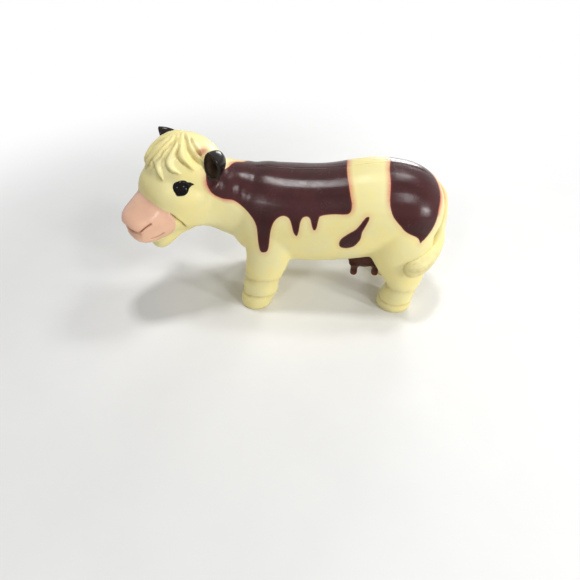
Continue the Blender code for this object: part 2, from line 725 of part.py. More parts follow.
def tail_root_seat(skin):
    """Where the tail's peg enters the skin, and which way it goes in."""
    first = tail_stations()[TAIL_ROOT_STEPS][0]
    tree = BVHTree.FromPolygons([v.co for v in skin.data.vertices],
                                [tuple(face.vertices) for face in skin.data.polygons])
    point, normal, _, _ = tree.find_nearest(first)
    return Vector((point.x, 0.0, point.z)), -normal


def finish(thing, material, root):
    """Gives a piece its material, shades it smooth and hangs it on the root."""
    thing.data.materials.clear()
    thing.data.materials.append(material)
    thing.data.shade_smooth()
    thing.data.set_sharp_from_angle(angle=SMOOTH_SHADED_UP_TO)
    thing.parent = root


def centre_on_footprint(root, pieces):
    """Moves the root so that the origin is at the bottom centre of the whole cow."""
    corners = [vertex.co for piece in pieces for vertex in piece.data.vertices]
    low = Vector(min(corner[axis] for corner in corners) for axis in range(3))
    high = Vector(max(corner[axis] for corner in corners) for axis in range(3))
    root.location = (-(low.x + high.x) / 2, -(low.y + high.y) / 2, -low.z)


def main():
    """Builds the cow."""
    clear_scene()
    cream = make_material("cream_vinyl", (0.80, 0.72, 0.43), 0.38)
    maroon = make_material("maroon_paint", (0.090, 0.028, 0.035), 0.25)
    black = make_material("black_gloss", (0.020, 0.014, 0.010), 0.12)
    brown = make_material("brown_vinyl", (0.110, 0.030, 0.020), 0.35)

    skin = build_skin()
    grown = grown_skin(skin)
    tail_root = tail_root_seat(skin)
    strip_points = back_line(skin)

    udder, udder_axis = build_udder(grown)
    left_eye, left_eye_stem = build_eye("left_eye", skin, grown, 1)
    right_eye, right_eye_stem = build_eye("right_eye", skin, grown, -1)
    left_ear, left_ear_stem = build_ear("left_ear", skin, grown, LEFT_EAR_TOWARDS_SHARES)
    right_ear, right_ear_stem = build_ear("right_ear", skin, grown, RIGHT_EAR_TOWARDS_SHARES)
    tail = build_tail(grown, *tail_root)
    strip = ribbon("spine_strip", strip_points, STRIP_WIDTH / 2, STRIP_PROUD, STRIP_DEPTH)
    head = build_head_shell(skin, (left_eye_stem, right_eye_stem, left_ear_stem, right_ear_stem))
    left, right = build_body_shells(skin, strip_points, tail_root, udder_axis)
    drop([skin, grown])

    root = add_object("cow", None)
    finishes = ((left, cream), (right, cream), (head, cream), (tail, cream), (strip, maroon),
                (left_ear, black), (right_ear, black), (left_eye, black), (right_eye, black),
                (udder, brown))
    for piece, material in finishes:
        finish(piece, material, root)
    centre_on_footprint(root, [piece for piece, _ in finishes])


main()
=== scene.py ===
"""Toy cow, dressed: moulded skins with locks of hair and creases, sprayed patches, and a soft studio.

Every length is in millimetres of the cow's own frame: x = 0 is the front of the chest, y = 0 is the
plane where the two halves of the body meet, and z = 0 is the floor. The nose points towards -x and the
cow's left side towards -y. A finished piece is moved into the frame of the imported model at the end.
"""

import logging
import math
from dataclasses import dataclass
from enum import Enum

import bmesh
import bpy
import numpy as np
from mathutils import Matrix, Vector, noise
from mathutils.bvhtree import BVHTree


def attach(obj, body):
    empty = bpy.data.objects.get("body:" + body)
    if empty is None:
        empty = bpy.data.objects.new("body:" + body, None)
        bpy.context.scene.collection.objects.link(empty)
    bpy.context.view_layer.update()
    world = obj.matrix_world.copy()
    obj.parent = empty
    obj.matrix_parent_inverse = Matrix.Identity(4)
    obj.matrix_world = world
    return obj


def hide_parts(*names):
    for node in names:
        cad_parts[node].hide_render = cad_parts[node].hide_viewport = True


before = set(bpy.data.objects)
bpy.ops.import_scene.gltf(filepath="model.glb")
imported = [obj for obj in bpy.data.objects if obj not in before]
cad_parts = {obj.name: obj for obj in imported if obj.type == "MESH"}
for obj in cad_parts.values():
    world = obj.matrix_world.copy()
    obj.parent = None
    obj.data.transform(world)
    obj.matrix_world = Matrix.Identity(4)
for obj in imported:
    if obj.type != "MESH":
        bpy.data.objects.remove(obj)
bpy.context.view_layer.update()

LOG = logging.getLogger("toy_cow")

MM = 0.001
TO_MODEL = Matrix.Scale(MM, 4) @ Matrix.Translation((-23.2129, 3.2076, 0.0))
ALONG = np.array((1.0, 0.0, 0.0))
LEVEL = np.array((0.0, 1.0, 0.0))
UP = np.array((0.0, 0.0, 1.0))
TOUCH = 1e-4
RIM_DEPTH = 1.2

Row = tuple[float, ...]
Pair = tuple[float, float]
Outline = tuple[Pair, ...]
Place = tuple[float, float, float]
Colour = tuple[float, float, float, float]
Station = tuple[np.ndarray, float, float]
Marks = dict[str, np.ndarray]

# Stations from chest to rump: place along the trunk, height of the middle, half width, half depth
TRUNK_SHARES: tuple[Row, ...] = (
    (0.000, 0.700, 0.130, 0.150), (0.030, 0.700, 0.270, 0.310), (0.080, 0.694, 0.385, 0.420),
    (0.150, 0.681, 0.450, 0.485), (0.240, 0.659, 0.485, 0.497), (0.350, 0.653, 0.500, 0.500),
    (0.460, 0.657, 0.505, 0.500), (0.560, 0.676, 0.508, 0.500), (0.670, 0.706, 0.510, 0.503),
    (0.760, 0.708, 0.500, 0.492), (0.850, 0.684, 0.475, 0.465), (0.920, 0.664, 0.405, 0.390),
    (0.965, 0.650, 0.300, 0.280), (0.990, 0.642, 0.180, 0.165), (1.000, 0.640, 0.080, 0.080))

# Stations of the neck: along from chest, left, height of the middle, half width, half depth
NECK_SHARES: tuple[Row, ...] = (
    (0.200, 0.000, 0.720, 0.500, 0.470), (0.090, 0.050, 0.745, 0.500, 0.500),
    (0.000, 0.250, 0.790, 0.480, 0.460), (-0.080, 0.650, 0.840, 0.470, 0.420),
    (-0.140, 0.950, 0.870, 0.430, 0.380))

# Stations of the head: forward and up from its centre, half width, half depth
CRANIUM_SHARES: tuple[Row, ...] = (
    (-0.460, 0.150, 0.060, 0.060), (-0.420, 0.160, 0.200, 0.200), (-0.320, 0.165, 0.335, 0.325),
    (-0.150, 0.180, 0.450, 0.445), (0.060, 0.195, 0.490, 0.497), (0.250, 0.190, 0.440, 0.450),
    (0.400, 0.175, 0.345, 0.350), (0.500, 0.160, 0.210, 0.215), (0.535, 0.150, 0.070, 0.070))
FACE_SHARES: tuple[Row, ...] = (
    (-0.295, -0.020, 0.060, 0.050), (-0.265, -0.020, 0.190, 0.160), (-0.160, -0.020, 0.350, 0.300),
    (0.010, -0.020, 0.485, 0.415), (0.185, -0.018, 0.522, 0.450), (0.368, -0.023, 0.490, 0.425),
    (0.516, -0.040, 0.400, 0.345), (0.620, -0.058, 0.268, 0.230), (0.679, -0.070, 0.092, 0.082))
MUZZLE_SHARES: tuple[Row, ...] = (
    (0.150, -0.080, 0.500, 0.500), (0.300, -0.120, 0.600, 0.560), (0.500, -0.210, 0.530, 0.470),
    (0.690, -0.290, 0.465, 0.385), (0.800, -0.335, 0.420, 0.345), (0.890, -0.370, 0.330, 0.270),
    (0.945, -0.392, 0.210, 0.170), (0.965, -0.400, 0.080, 0.060))
JAW_SHARES: tuple[Row, ...] = (
    (0.100, -0.320, 0.200, 0.200), (0.170, -0.350, 0.360, 0.300), (0.330, -0.440, 0.370, 0.310),
    (0.505, -0.528, 0.345, 0.312), (0.630, -0.588, 0.265, 0.226), (0.690, -0.610, 0.120, 0.100))

# Stations of a leg from the trunk down: along, out from the middle, height, half length, half width
FRONT_LEG_SHARES: tuple[Row, ...] = (
    (0.215, 0.600, 0.720, 0.700, 0.900), (0.212, 0.760, 0.600, 0.740, 1.100),
    (0.206, 0.850, 0.490, 0.700, 1.080), (0.197, 0.910, 0.400, 0.640, 1.050),
    (0.181, 0.940, 0.320, 0.590, 1.030), (0.175, 0.945, 0.270, 0.570, 1.000),
    (0.170, 0.945, 0.226, 0.500, 0.920), (0.164, 0.945, 0.190, 0.545, 1.000),
    (0.158, 0.945, 0.150, 0.560, 1.010), (0.150, 0.945, 0.106, 0.500, 0.930),
    (0.141, 0.945, 0.076, 0.500, 0.990), (0.134, 0.945, 0.038, 0.490, 1.000),
    (0.134, 0.945, -0.010, 0.465, 0.970), (0.134, 0.945, -0.060, 0.445, 0.940))
HIND_LEG_SHARES: tuple[Row, ...] = (
    (0.800, 0.620, 0.740, 0.900, 1.200), (0.805, 0.720, 0.620, 0.960, 1.350),
    (0.820, 0.790, 0.500, 0.900, 1.300), (0.838, 0.840, 0.390, 0.765, 1.150),
    (0.852, 0.870, 0.290, 0.615, 1.040), (0.856, 0.875, 0.220, 0.505, 0.980),
    (0.852, 0.875, 0.170, 0.455, 0.960), (0.843, 0.870, 0.125, 0.490, 1.010),
    (0.839, 0.870, 0.092, 0.500, 0.960), (0.834, 0.865, 0.066, 0.530, 1.010),
    (0.831, 0.860, 0.030, 0.535, 1.020), (0.833, 0.860, -0.010, 0.505, 0.980),
    (0.833, 0.860, -0.060, 0.480, 0.940))

# Tail over the rump to the tuft: along, out from the middle, height, half width, half thickness
TAIL_SHARES: tuple[Row, ...] = (
    (0.918, 0.000, 0.912, 0.250, 0.250), (0.940, 0.000, 0.902, 0.440, 0.440),
    (0.984, 0.020, 0.822, 0.500, 0.520), (1.004, 0.070, 0.695, 0.500, 0.520),
    (1.002, 0.230, 0.600, 0.500, 0.520), (0.992, 0.560, 0.545, 0.540, 0.580),
    (0.948, 0.970, 0.500, 0.720, 0.780), (0.895, 1.270, 0.455, 0.800, 0.860),
    (0.856, 1.340, 0.432, 0.740, 0.800), (0.834, 1.340, 0.424, 0.420, 0.460),
    (0.826, 1.340, 0.422, 0.150, 0.160))


class Side(Enum):
    """A side of the cow; the value is the sign of what lies to the cow's left."""

    LEFT = 1
    RIGHT = -1


class Slot(Enum):
    """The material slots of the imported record."""

    CREAM = "cream_vinyl"
    MAROON = "maroon_vinyl"
    BLACK = "black_gloss"
    BROWN = "brown_vinyl"


@dataclass
class Form:
    """A surface of points and faces, in millimetres of the cow's own frame."""

    points: np.ndarray
    faces: list[tuple[int, ...]]

    def mesh(self) -> bpy.types.Mesh:
        """Makes a mesh of the surface.

        Returns:
            The new mesh.
        """
        mesh = bpy.data.meshes.new("form")
        mesh.from_pydata(self.points.tolist(), [], self.faces)
        mesh.update()
        return mesh

    def normals(self) -> np.ndarray:
        """Finds the way each point faces.

        Returns:
            One direction per point.
        """
        mesh = self.mesh()
        facing = np.empty(len(mesh.vertices) * 3)
        mesh.vertex_normals.foreach_get("vector", facing)
        bpy.data.meshes.remove(mesh)
        return facing.reshape(-1, 3)

    def tree(self) -> BVHTree:
        """A search tree over the faces."""
        return BVHTree.FromPolygons([Vector(point) for point in self.points], self.faces)

    def kept(self, wanted: np.ndarray) -> "Form":
        """The part of the surface whose faces have every point wanted.

        Args:
            wanted: one truth value per point.

        Returns:
            The smaller surface, with its points numbered afresh.
        """
        faces = [face for face in self.faces if all(wanted[index] for index in face)]
        used = np.zeros(len(self.points), bool)
        used[[index for face in faces for index in face]] = True
        fresh = np.cumsum(used) - 1
        return Form(self.points[used], [tuple(int(fresh[index]) for index in face) for face in faces])


def form_of(mesh: bpy.types.Mesh) -> Form:
    """Reads a surface from a mesh.

    Args:
        mesh: the mesh.

    Returns:
        Its points and faces.
    """
    points = np.empty(len(mesh.vertices) * 3)
    mesh.vertices.foreach_get("co", points)
    return Form(points.reshape(-1, 3), [tuple(face.vertices) for face in mesh.polygons])


def joined(forms: list[Form]) -> Form:
    """Puts several forms together as one.

    Args:
        forms: the forms, which may run into each other.

    Returns:
        One form with all their points and faces.
    """
    points, faces, start = [], [], 0
    for form in forms:
        points.append(form.points)
        faces += [tuple(index + start for index in face) for face in form.faces]
        start += len(form.points)
    return Form(np.concatenate(points), faces)


def unit(vector: np.ndarray) -> np.ndarray:
    """The vector at length one."""
    return vector / np.linalg.norm(vector)


def circle(count: int) -> np.ndarray:
    """The angles of this many points round a circle."""
    return np.arange(count) * math.tau / count


def bell(distance: np.ndarray, width: float, power: int = 2) -> np.ndarray:
    """One at no distance, and falling to nothing beyond a width."""
    return np.exp(-(distance / width) ** power)


def gone(values: np.ndarray, start: float, end: float) -> np.ndarray:
    """How far values have gone from start to end, as a share from 0 to 1."""
    return np.clip((values - start) / (end - start), 0, 1)


def eased(rows: list[Row] | tuple[Row, ...], steps: int = 4, closed: bool = False) -> list[Row]:
    """Smooth rows through the rows of a table.

    Args:
        rows: the rows that the curve passes through.
        steps: how many rows each gap gets.
        closed: whether the last row leads back to the first.

    Returns:
        The rows of the curve.
    """
    count = len(rows)
    gaps = count if closed else count - 1
    curve = []
    for index in range(gaps):
        if closed:
            around = [rows[(index + shift) % count] for shift in (-1, 0, 1, 2)]
        else:
            around = [rows[min(max(index + shift, 0), count - 1)] for shift in (-1, 0, 1, 2)]
        for step in range(steps):
            t = step / steps
            curve.append(tuple(
                0.5 * (2 * b + (c - a) * t + (2 * a - 5 * b + 4 * c - d) * t ** 2
                       + (3 * b - a - 3 * c + d) * t ** 3)
                for a, b, c, d in zip(*around)))
    if not closed:
        curve.append(tuple(rows[-1]))
    return curve


def loft(stations: list[Station], side: np.ndarray = LEVEL, sides: int = 32) -> Form:
    """Makes a closed tube through stations.

    Args:
        stations: the centre of each ring, its half width along `side` and its half depth across it.
        side: the way in which widths are measured.
        sides: how many points a ring has.

    Returns:
        The tube, with both ends closed.
    """
    angles = circle(sides)
    rings = []
    for index, (centre, half_width, half_depth) in enumerate(stations):
        before = stations[max(index - 1, 0)][0]
        after = stations[min(index + 1, len(stations) - 1)][0]
        along = unit(after - before)
        across = unit(side - along * side.dot(along))
        depth = np.cross(along, across)
        rings.append(centre + np.outer(np.cos(angles), across) * half_width
                     + np.outer(np.sin(angles), depth) * half_depth)
    return tube(rings, stations[0][0], stations[-1][0])


def tube(rings: list[np.ndarray], start: np.ndarray, end: np.ndarray) -> Form:
    """Joins rings of equal count in order, and closes each end round a point.

    Args:
        rings: the points of each ring.
        start: the point that closes the first ring.
        end: the point that closes the last ring.

    Returns:
        The closed surface.
    """
    sides = len(rings[0])
    faces = []
    for ring in range(len(rings) - 1):
        low, high = ring * sides, (ring + 1) * sides
        for corner in range(sides):
            following = (corner + 1) % sides
            faces.append((low + corner, low + following, high + following, high + corner))
    total = len(rings) * sides
    last = total - sides
    for corner in range(sides):
        following = (corner + 1) % sides
        faces.append((corner, total, following))
        faces.append((last + corner, last + following, total + 1))
    return Form(np.concatenate(rings + [start[None], end[None]]), faces)


def put_in_scene(name: str, data: bpy.types.ID) -> bpy.types.Object:
    """Makes an object of a mesh, lamp or camera.

    Args:
        name: the object's name.
        data: what it holds.

    Returns:
        The object, linked into the scene.
    """
    thing = bpy.data.objects.new(name, data)
    bpy.context.scene.collection.objects.link(thing)
    return thing


def blended(form: Form, voxel: float, rounds: int) -> Form:
    """One smooth closed skin round forms that run into each other.

    Args:
        form: the closed forms, as one.
        voxel: the spacing of the new skin's points.
        rounds: how often the skin is relaxed.

    Returns:
        The skin, made of four-sided faces.
    """
    thing = put_in_scene("blend", form.mesh())
    remesh = thing.modifiers.new("blend", "REMESH")
    remesh.mode = "VOXEL"
    remesh.voxel_size = voxel
    relax = thing.modifiers.new("relax", "SMOOTH")
    relax.factor = 0.5
    relax.iterations = rounds
    graph = bpy.context.evaluated_depsgraph_get()
    mesh = bpy.data.meshes.new_from_object(thing.evaluated_get(graph))
    skin = form_of(mesh)
    bpy.data.objects.remove(thing)
    bpy.data.meshes.remove(mesh)
    return skin


def line_distance(points: np.ndarray, line: np.ndarray) -> tuple[np.ndarray, np.ndarray]:
    """How far points are from a line of many short pieces.

    Args:
        points: the places to measure from, one per row.
        line: the line's points in order.

    Returns:
        The distance of each place, and how far along the line its nearest point is, from 0 to 1.
    """
    best = np.full(len(points), np.inf)
    share = np.zeros(len(points))
    steps = np.linalg.norm(np.diff(line, axis=0), axis=1)
    ends = np.concatenate(((0.0,), np.cumsum(steps)))
    for start, end, before, length in zip(line, line[1:], ends, steps):
        along = (end - start) / length
        offset = points - start
        reach = np.clip(offset @ along, 0.0, length)
        distance = np.linalg.norm(offset - reach[:, None] * along, axis=1)
        nearer = distance < best
        best[nearer] = distance[nearer]
        share[nearer] = ((before + reach) / ends[-1])[nearer]
    return best, share


def outline_distance(places: np.ndarray, outline: np.ndarray, reach: float) -> np.ndarray:
    """How far places in a plane lie inside a closed outline.

    Args:
        places: points in the plane, one per row.
        outline: the outline's corners in order.
        reach: the farthest distance that matters.

    Returns:
        The distance to the outline, above zero inside it, below zero outside, and never beyond reach.
    """
    inside_by = np.full(len(places), -reach)
    low, high = outline.min(axis=0) - reach, outline.max(axis=0) + reach
    near = np.nonzero(np.all((places > low) & (places < high), axis=1))[0]
    spots = places[near]
    ring = np.vstack((outline, outline[:1]))
    distance, _ = line_distance(spots, ring)
    inside = np.zeros(len(near), bool)
    for (ax, ay), (bx, by) in zip(ring, ring[1:]):
        if ay == by:
            continue
        crossing = (spots[:, 1] < ay) != (spots[:, 1] < by)
        inside ^= crossing & (spots[:, 0] < ax + (spots[:, 1] - ay) * (bx - ax) / (by - ay))
    inside_by[near] = np.clip(np.where(inside, distance, -distance), -reach, reach)
    return inside_by


class Clay:
    """A surface while it is being shaped: how far each point is pushed out, and how dark it is painted,
    mostly as painted shade in its creases and partly as real marks.
    """

    def __init__(self, form: Form) -> None:
        """Starts with a smooth form.

        Args:
            form: the surface before shaping.
        """
        self.form = form
        self.facing = form.normals()
        self.push = np.zeros(len(form.points))
        self.hollow = np.zeros(len(form.points))

    def groove(self, line: np.ndarray, radius: float, depth: float, dirt: float, ends: float = 1 / 6
               ) -> None:
        """Presses a rounded groove along a line, running out at both ends, and paints shade into it.

        Args:
            line: the groove's points in order.
            radius: how wide the groove is to each side.
            depth: how deep it is at its middle.
            darkness: how dark the groove is painted, as painted shade in it, up to 1.
            ends: the share of the line over which each end runs out.
        """
        distance, share = line_distance(self.form.points, line)
        fade = np.clip(np.minimum(share, 1 - share) / ends, 0, 1) ** 0.5
        shape = np.exp(-(distance / radius) ** 2) * fade
        self.push -= depth * shape
        # Painted shade in the groove.
        self.darken(shape * dirt)

    def around(self, centre: np.ndarray, radius: float) -> np.ndarray:
        """One at a centre, and falling off over a radius."""
        return bell(np.linalg.norm(self.form.points - centre, axis=1), radius)

    def swell(self, centre: np.ndarray, radius: float, height: float) -> None:
        """Raises a round pad."""
        self.push += height * self.around(centre, radius)

    def darken(self, amount: np.ndarray) -> None:
        """Makes each point at least this dark: painted shade in creases, or a real mark."""
        self.hollow = np.maximum(self.hollow, amount)

    def lock(self, line: np.ndarray, half_width: float, height: float) -> np.ndarray:
        """Shapes a lock of hair, narrow at its root and pointed at its tip.

        Args:
            line: the lock's middle, from root to tip.
            half_width: its half width where it is widest.
            height: its height where it is highest.

        Returns:
            How far the lock stands out at each point.
        """
        distance, share = line_distance(self.form.points, line)
        left = 1 - share
        swelling = np.clip(0.45 + share * 1.8, 0, 1) * np.clip(left * 3.2, 0, 1) ** 0.6
        crown = np.clip(1 - (distance / (half_width * np.maximum(swelling, 0.05))) ** 2, 0, 1) ** 0.8
        return crown * height * np.clip(0.35 + share * 1.6, 0, 1) * np.clip(left * 5, 0, 1) ** 0.5

    def unevenness(self, size: float, height: float) -> None:
        """Adds the slow waviness of a moulded skin."""
        self.push += height * np.array([noise.noise(Vector(point) / size) for point in self.form.points])

    def shaped(self) -> Form:
        """The surface with its shaping pressed in."""
        return Form(self.form.points + self.facing * self.push[:, None], self.form.faces)


@dataclass(frozen=True)
class HeadFrame:
    """Where the head's centre is and how the head is turned."""

    centre: Place = (-11.0, -4.0, 47.0)
    turn: float = math.radians(38.0)

    def axes(self) -> np.ndarray:
        """Finds how the head lies.

        Returns:
            Forward, left and up of the head, one per row.
        """
        angle = math.pi + self.turn
        return np.array(((math.cos(angle), math.sin(angle), 0.0),
                         (-math.sin(angle), math.cos(angle), 0.0), (0.0, 0.0, 1.0)))

    def place(self, forward: float, left: float, up: float) -> np.ndarray:
        """A place measured from the head's centre."""
        return np.array(self.centre) + np.array((forward, left, up)) @ self.axes()

    def local(self, points: np.ndarray) -> np.ndarray:
        """Forward, left and up of points, from the head's centre."""
        return (points - np.array(self.centre)) @ self.axes().T

    def spread(self, points: np.ndarray, radius: float) -> np.ndarray:
        """Lays points of the head out flat.

        Args:
            points: the points.
            radius: the radius at which the flat lengths are measured.

        Returns:
            How far each point is round to the left and up, in millimetres.
        """
        forward, left, up = self.local(points).T
        turn = np.arctan2(left, forward)
        rise = np.arctan2(up, np.hypot(forward, left))
        return np.stack((turn * radius, rise * radius), axis=1)

    def aim(self, turn: float, rise: float) -> np.ndarray:
        """Finds a direction from the head's centre.

        Args:
            turn: degrees round to the left.
            rise: degrees up.

        Returns:
            The direction, at length one.
        """
        turn, rise = math.radians(turn), math.radians(rise)
        return np.array((math.cos(rise) * math.cos(turn), math.cos(rise) * math.sin(turn),
                         math.sin(rise))) @ self.axes()

    def on_skin(self, tree: BVHTree, turn: float, rise: float) -> tuple[np.ndarray, np.ndarray]:
        """Where that direction leaves the skin, and how the skin faces there."""
        point, normal, _, _ = tree.ray_cast(Vector(self.centre), Vector(self.aim(turn, rise)))
        return np.array(point), np.array(normal)

    def stroke(self, tree: BVHTree, directions: Outline, sign: int = 1) -> np.ndarray:
        """A smooth line on the skin through directions, mirrored where the sign is -1."""
        corners = [tuple(self.on_skin(tree, sign * turn, rise)[0]) for turn, rise in directions]
        return np.array(eased(corners, 5))


@dataclass(frozen=True)
class NeckSeam:
    """The plane where the head meets the body, with a fold beside it given by place, width and height."""

    centre: Place = (2.0, 0.0, 41.5)
    turn: float = math.radians(12.0)
    rise: float = math.radians(9.0)
    fold_place: Place = (5.0, -11.0, 48.0)
    fold_reach: float = 5.0
    folds: tuple[Row, ...] = ((1.2, 1.7, 0.28), (-1.8, 1.5, -0.34), (-5.0, 2.2, 0.16))
    line_width: float = 0.30
    line_depth: float = 0.025
    line_dirt: float = 0.05

    def towards_head(self) -> np.ndarray:
        """The way across the plane towards the head."""
        level = math.cos(self.rise)
        return np.array((-math.cos(self.turn) * level, -math.sin(self.turn) * level, math.sin(self.rise)))

    def beyond(self, points: np.ndarray) -> np.ndarray:
        """How far points lie on the head's side of the plane."""
        return (points - np.array(self.centre)) @ self.towards_head()

    def crease(self, clay: Clay) -> None:
        """Presses a fine line round the neck, and a soft fold between two rolls behind the ear.

        Args:
            clay: the skin to press them into.
        """
        beyond = self.beyond(clay.form.points)
        fold = clay.around(np.array(self.fold_place), self.fold_reach)
        for middle, width, height in self.folds:
            clay.push += height * fold * bell(beyond - middle, width)
        line = bell(beyond, self.line_width)
        clay.push -= self.line_depth * line
        clay.darken(self.line_dirt * line)


@dataclass(frozen=True)
class Figure:
    """The sizes and smooth forms that all moulded skins share."""

    trunk_length: float = 79.0
    back_height: float = 52.5
    barrel_width: float = 34.0
    barrel_depth: float = 36.6
    neck_width: float = 26.0
    neck_depth: float = 29.0
    head_left: float = 4.0
    head_size: float = 27.0
    muzzle_reach: float = 28.0
    muzzle_width: float = 21.0
    muzzle_depth: float = 19.0
    leg_spread: float = 26.6
    leg_width: float = 11.8
    hoof_length: float = 12.6
    tail_width: float = 4.6
    tail_thickness: float = 4.2
    head: HeadFrame = HeadFrame()
    seam: NeckSeam = NeckSeam()

    def trunk_point(self, along: float, out: float, height: float) -> np.ndarray:
        """A place on the trunk from its shares of length, leg spread and back height."""
        return np.array((along * self.trunk_length, -out * self.leg_spread / 2, height * self.back_height))

    def trunk(self) -> Form:
        """The barrel of the body."""
        return loft([(self.trunk_point(along, 0.0, height), width * self.barrel_width,
                      depth * self.barrel_depth)
                     for along, height, width, depth in eased(TRUNK_SHARES)])

    def neck(self) -> Form:
        """Builds the neck.

        Returns:
            A form from inside the trunk to inside the head.
        """
        return loft([(np.array((along * self.trunk_length, -left * self.head_left,
                                height * self.back_height)),
                      width * self.neck_width, depth * self.neck_depth)
                     for along, left, height, width, depth in eased(NECK_SHARES)])

    def leg(self, shares: tuple[Row, ...], side: Side) -> Form:
        """Builds one leg.

        Args:
            shares: the leg's stations, as shares of the figure's sizes.
            side: the side that it is on.

        Returns:
            A form from inside the trunk to under the floor.
        """
        return loft([(self.trunk_point(along, side.value * out, height), width * self.leg_width / 2,
                      length * self.hoof_length)
                     for along, out, height, length, width in eased(shares)])

    def head_part(self, shares: tuple[Row, ...], reach: float, width: float, depth: float) -> Form:
        """Builds one of the rounded forms that make up the head.

        Args:
            shares: the form's stations, as shares of the sizes that follow.
            reach: the length that places are shares of.
            width: the length that half widths are shares of.
            depth: the length that half depths are shares of.

        Returns:
            The form.
        """
        return loft([(self.head.place(forward * reach, 0.0, up * reach), half_width * width,
                      half_depth * depth)
                     for forward, up, half_width, half_depth in eased(shares)], self.head.axes()[1])

    def head_and_neck(self) -> list[Form]:
        """Builds the forms of the head, the neck and the trunk that they grow from.

        Returns:
            The forms, which run into each other.
        """
        size = (self.head_size,) * 3
        muzzle = (self.muzzle_reach, self.muzzle_width, self.muzzle_depth)
        return [self.trunk(), self.neck(), self.head_part(CRANIUM_SHARES, *size),
                self.head_part(FACE_SHARES, *size), self.head_part(MUZZLE_SHARES, *muzzle),
                self.head_part(JAW_SHARES, *muzzle)]

    def legs(self) -> list[Form]:
        """The four legs."""
        return [self.leg(shares, side) for shares in (FRONT_LEG_SHARES, HIND_LEG_SHARES) for side in Side]

    def tail(self) -> Form:
        """The tail, down to its tuft."""
        return loft([(self.trunk_point(along, out, height), width * self.tail_width,
                      thickness * self.tail_thickness)
                     for along, out, height, width, thickness in eased(TAIL_SHARES, 6)], sides=24)


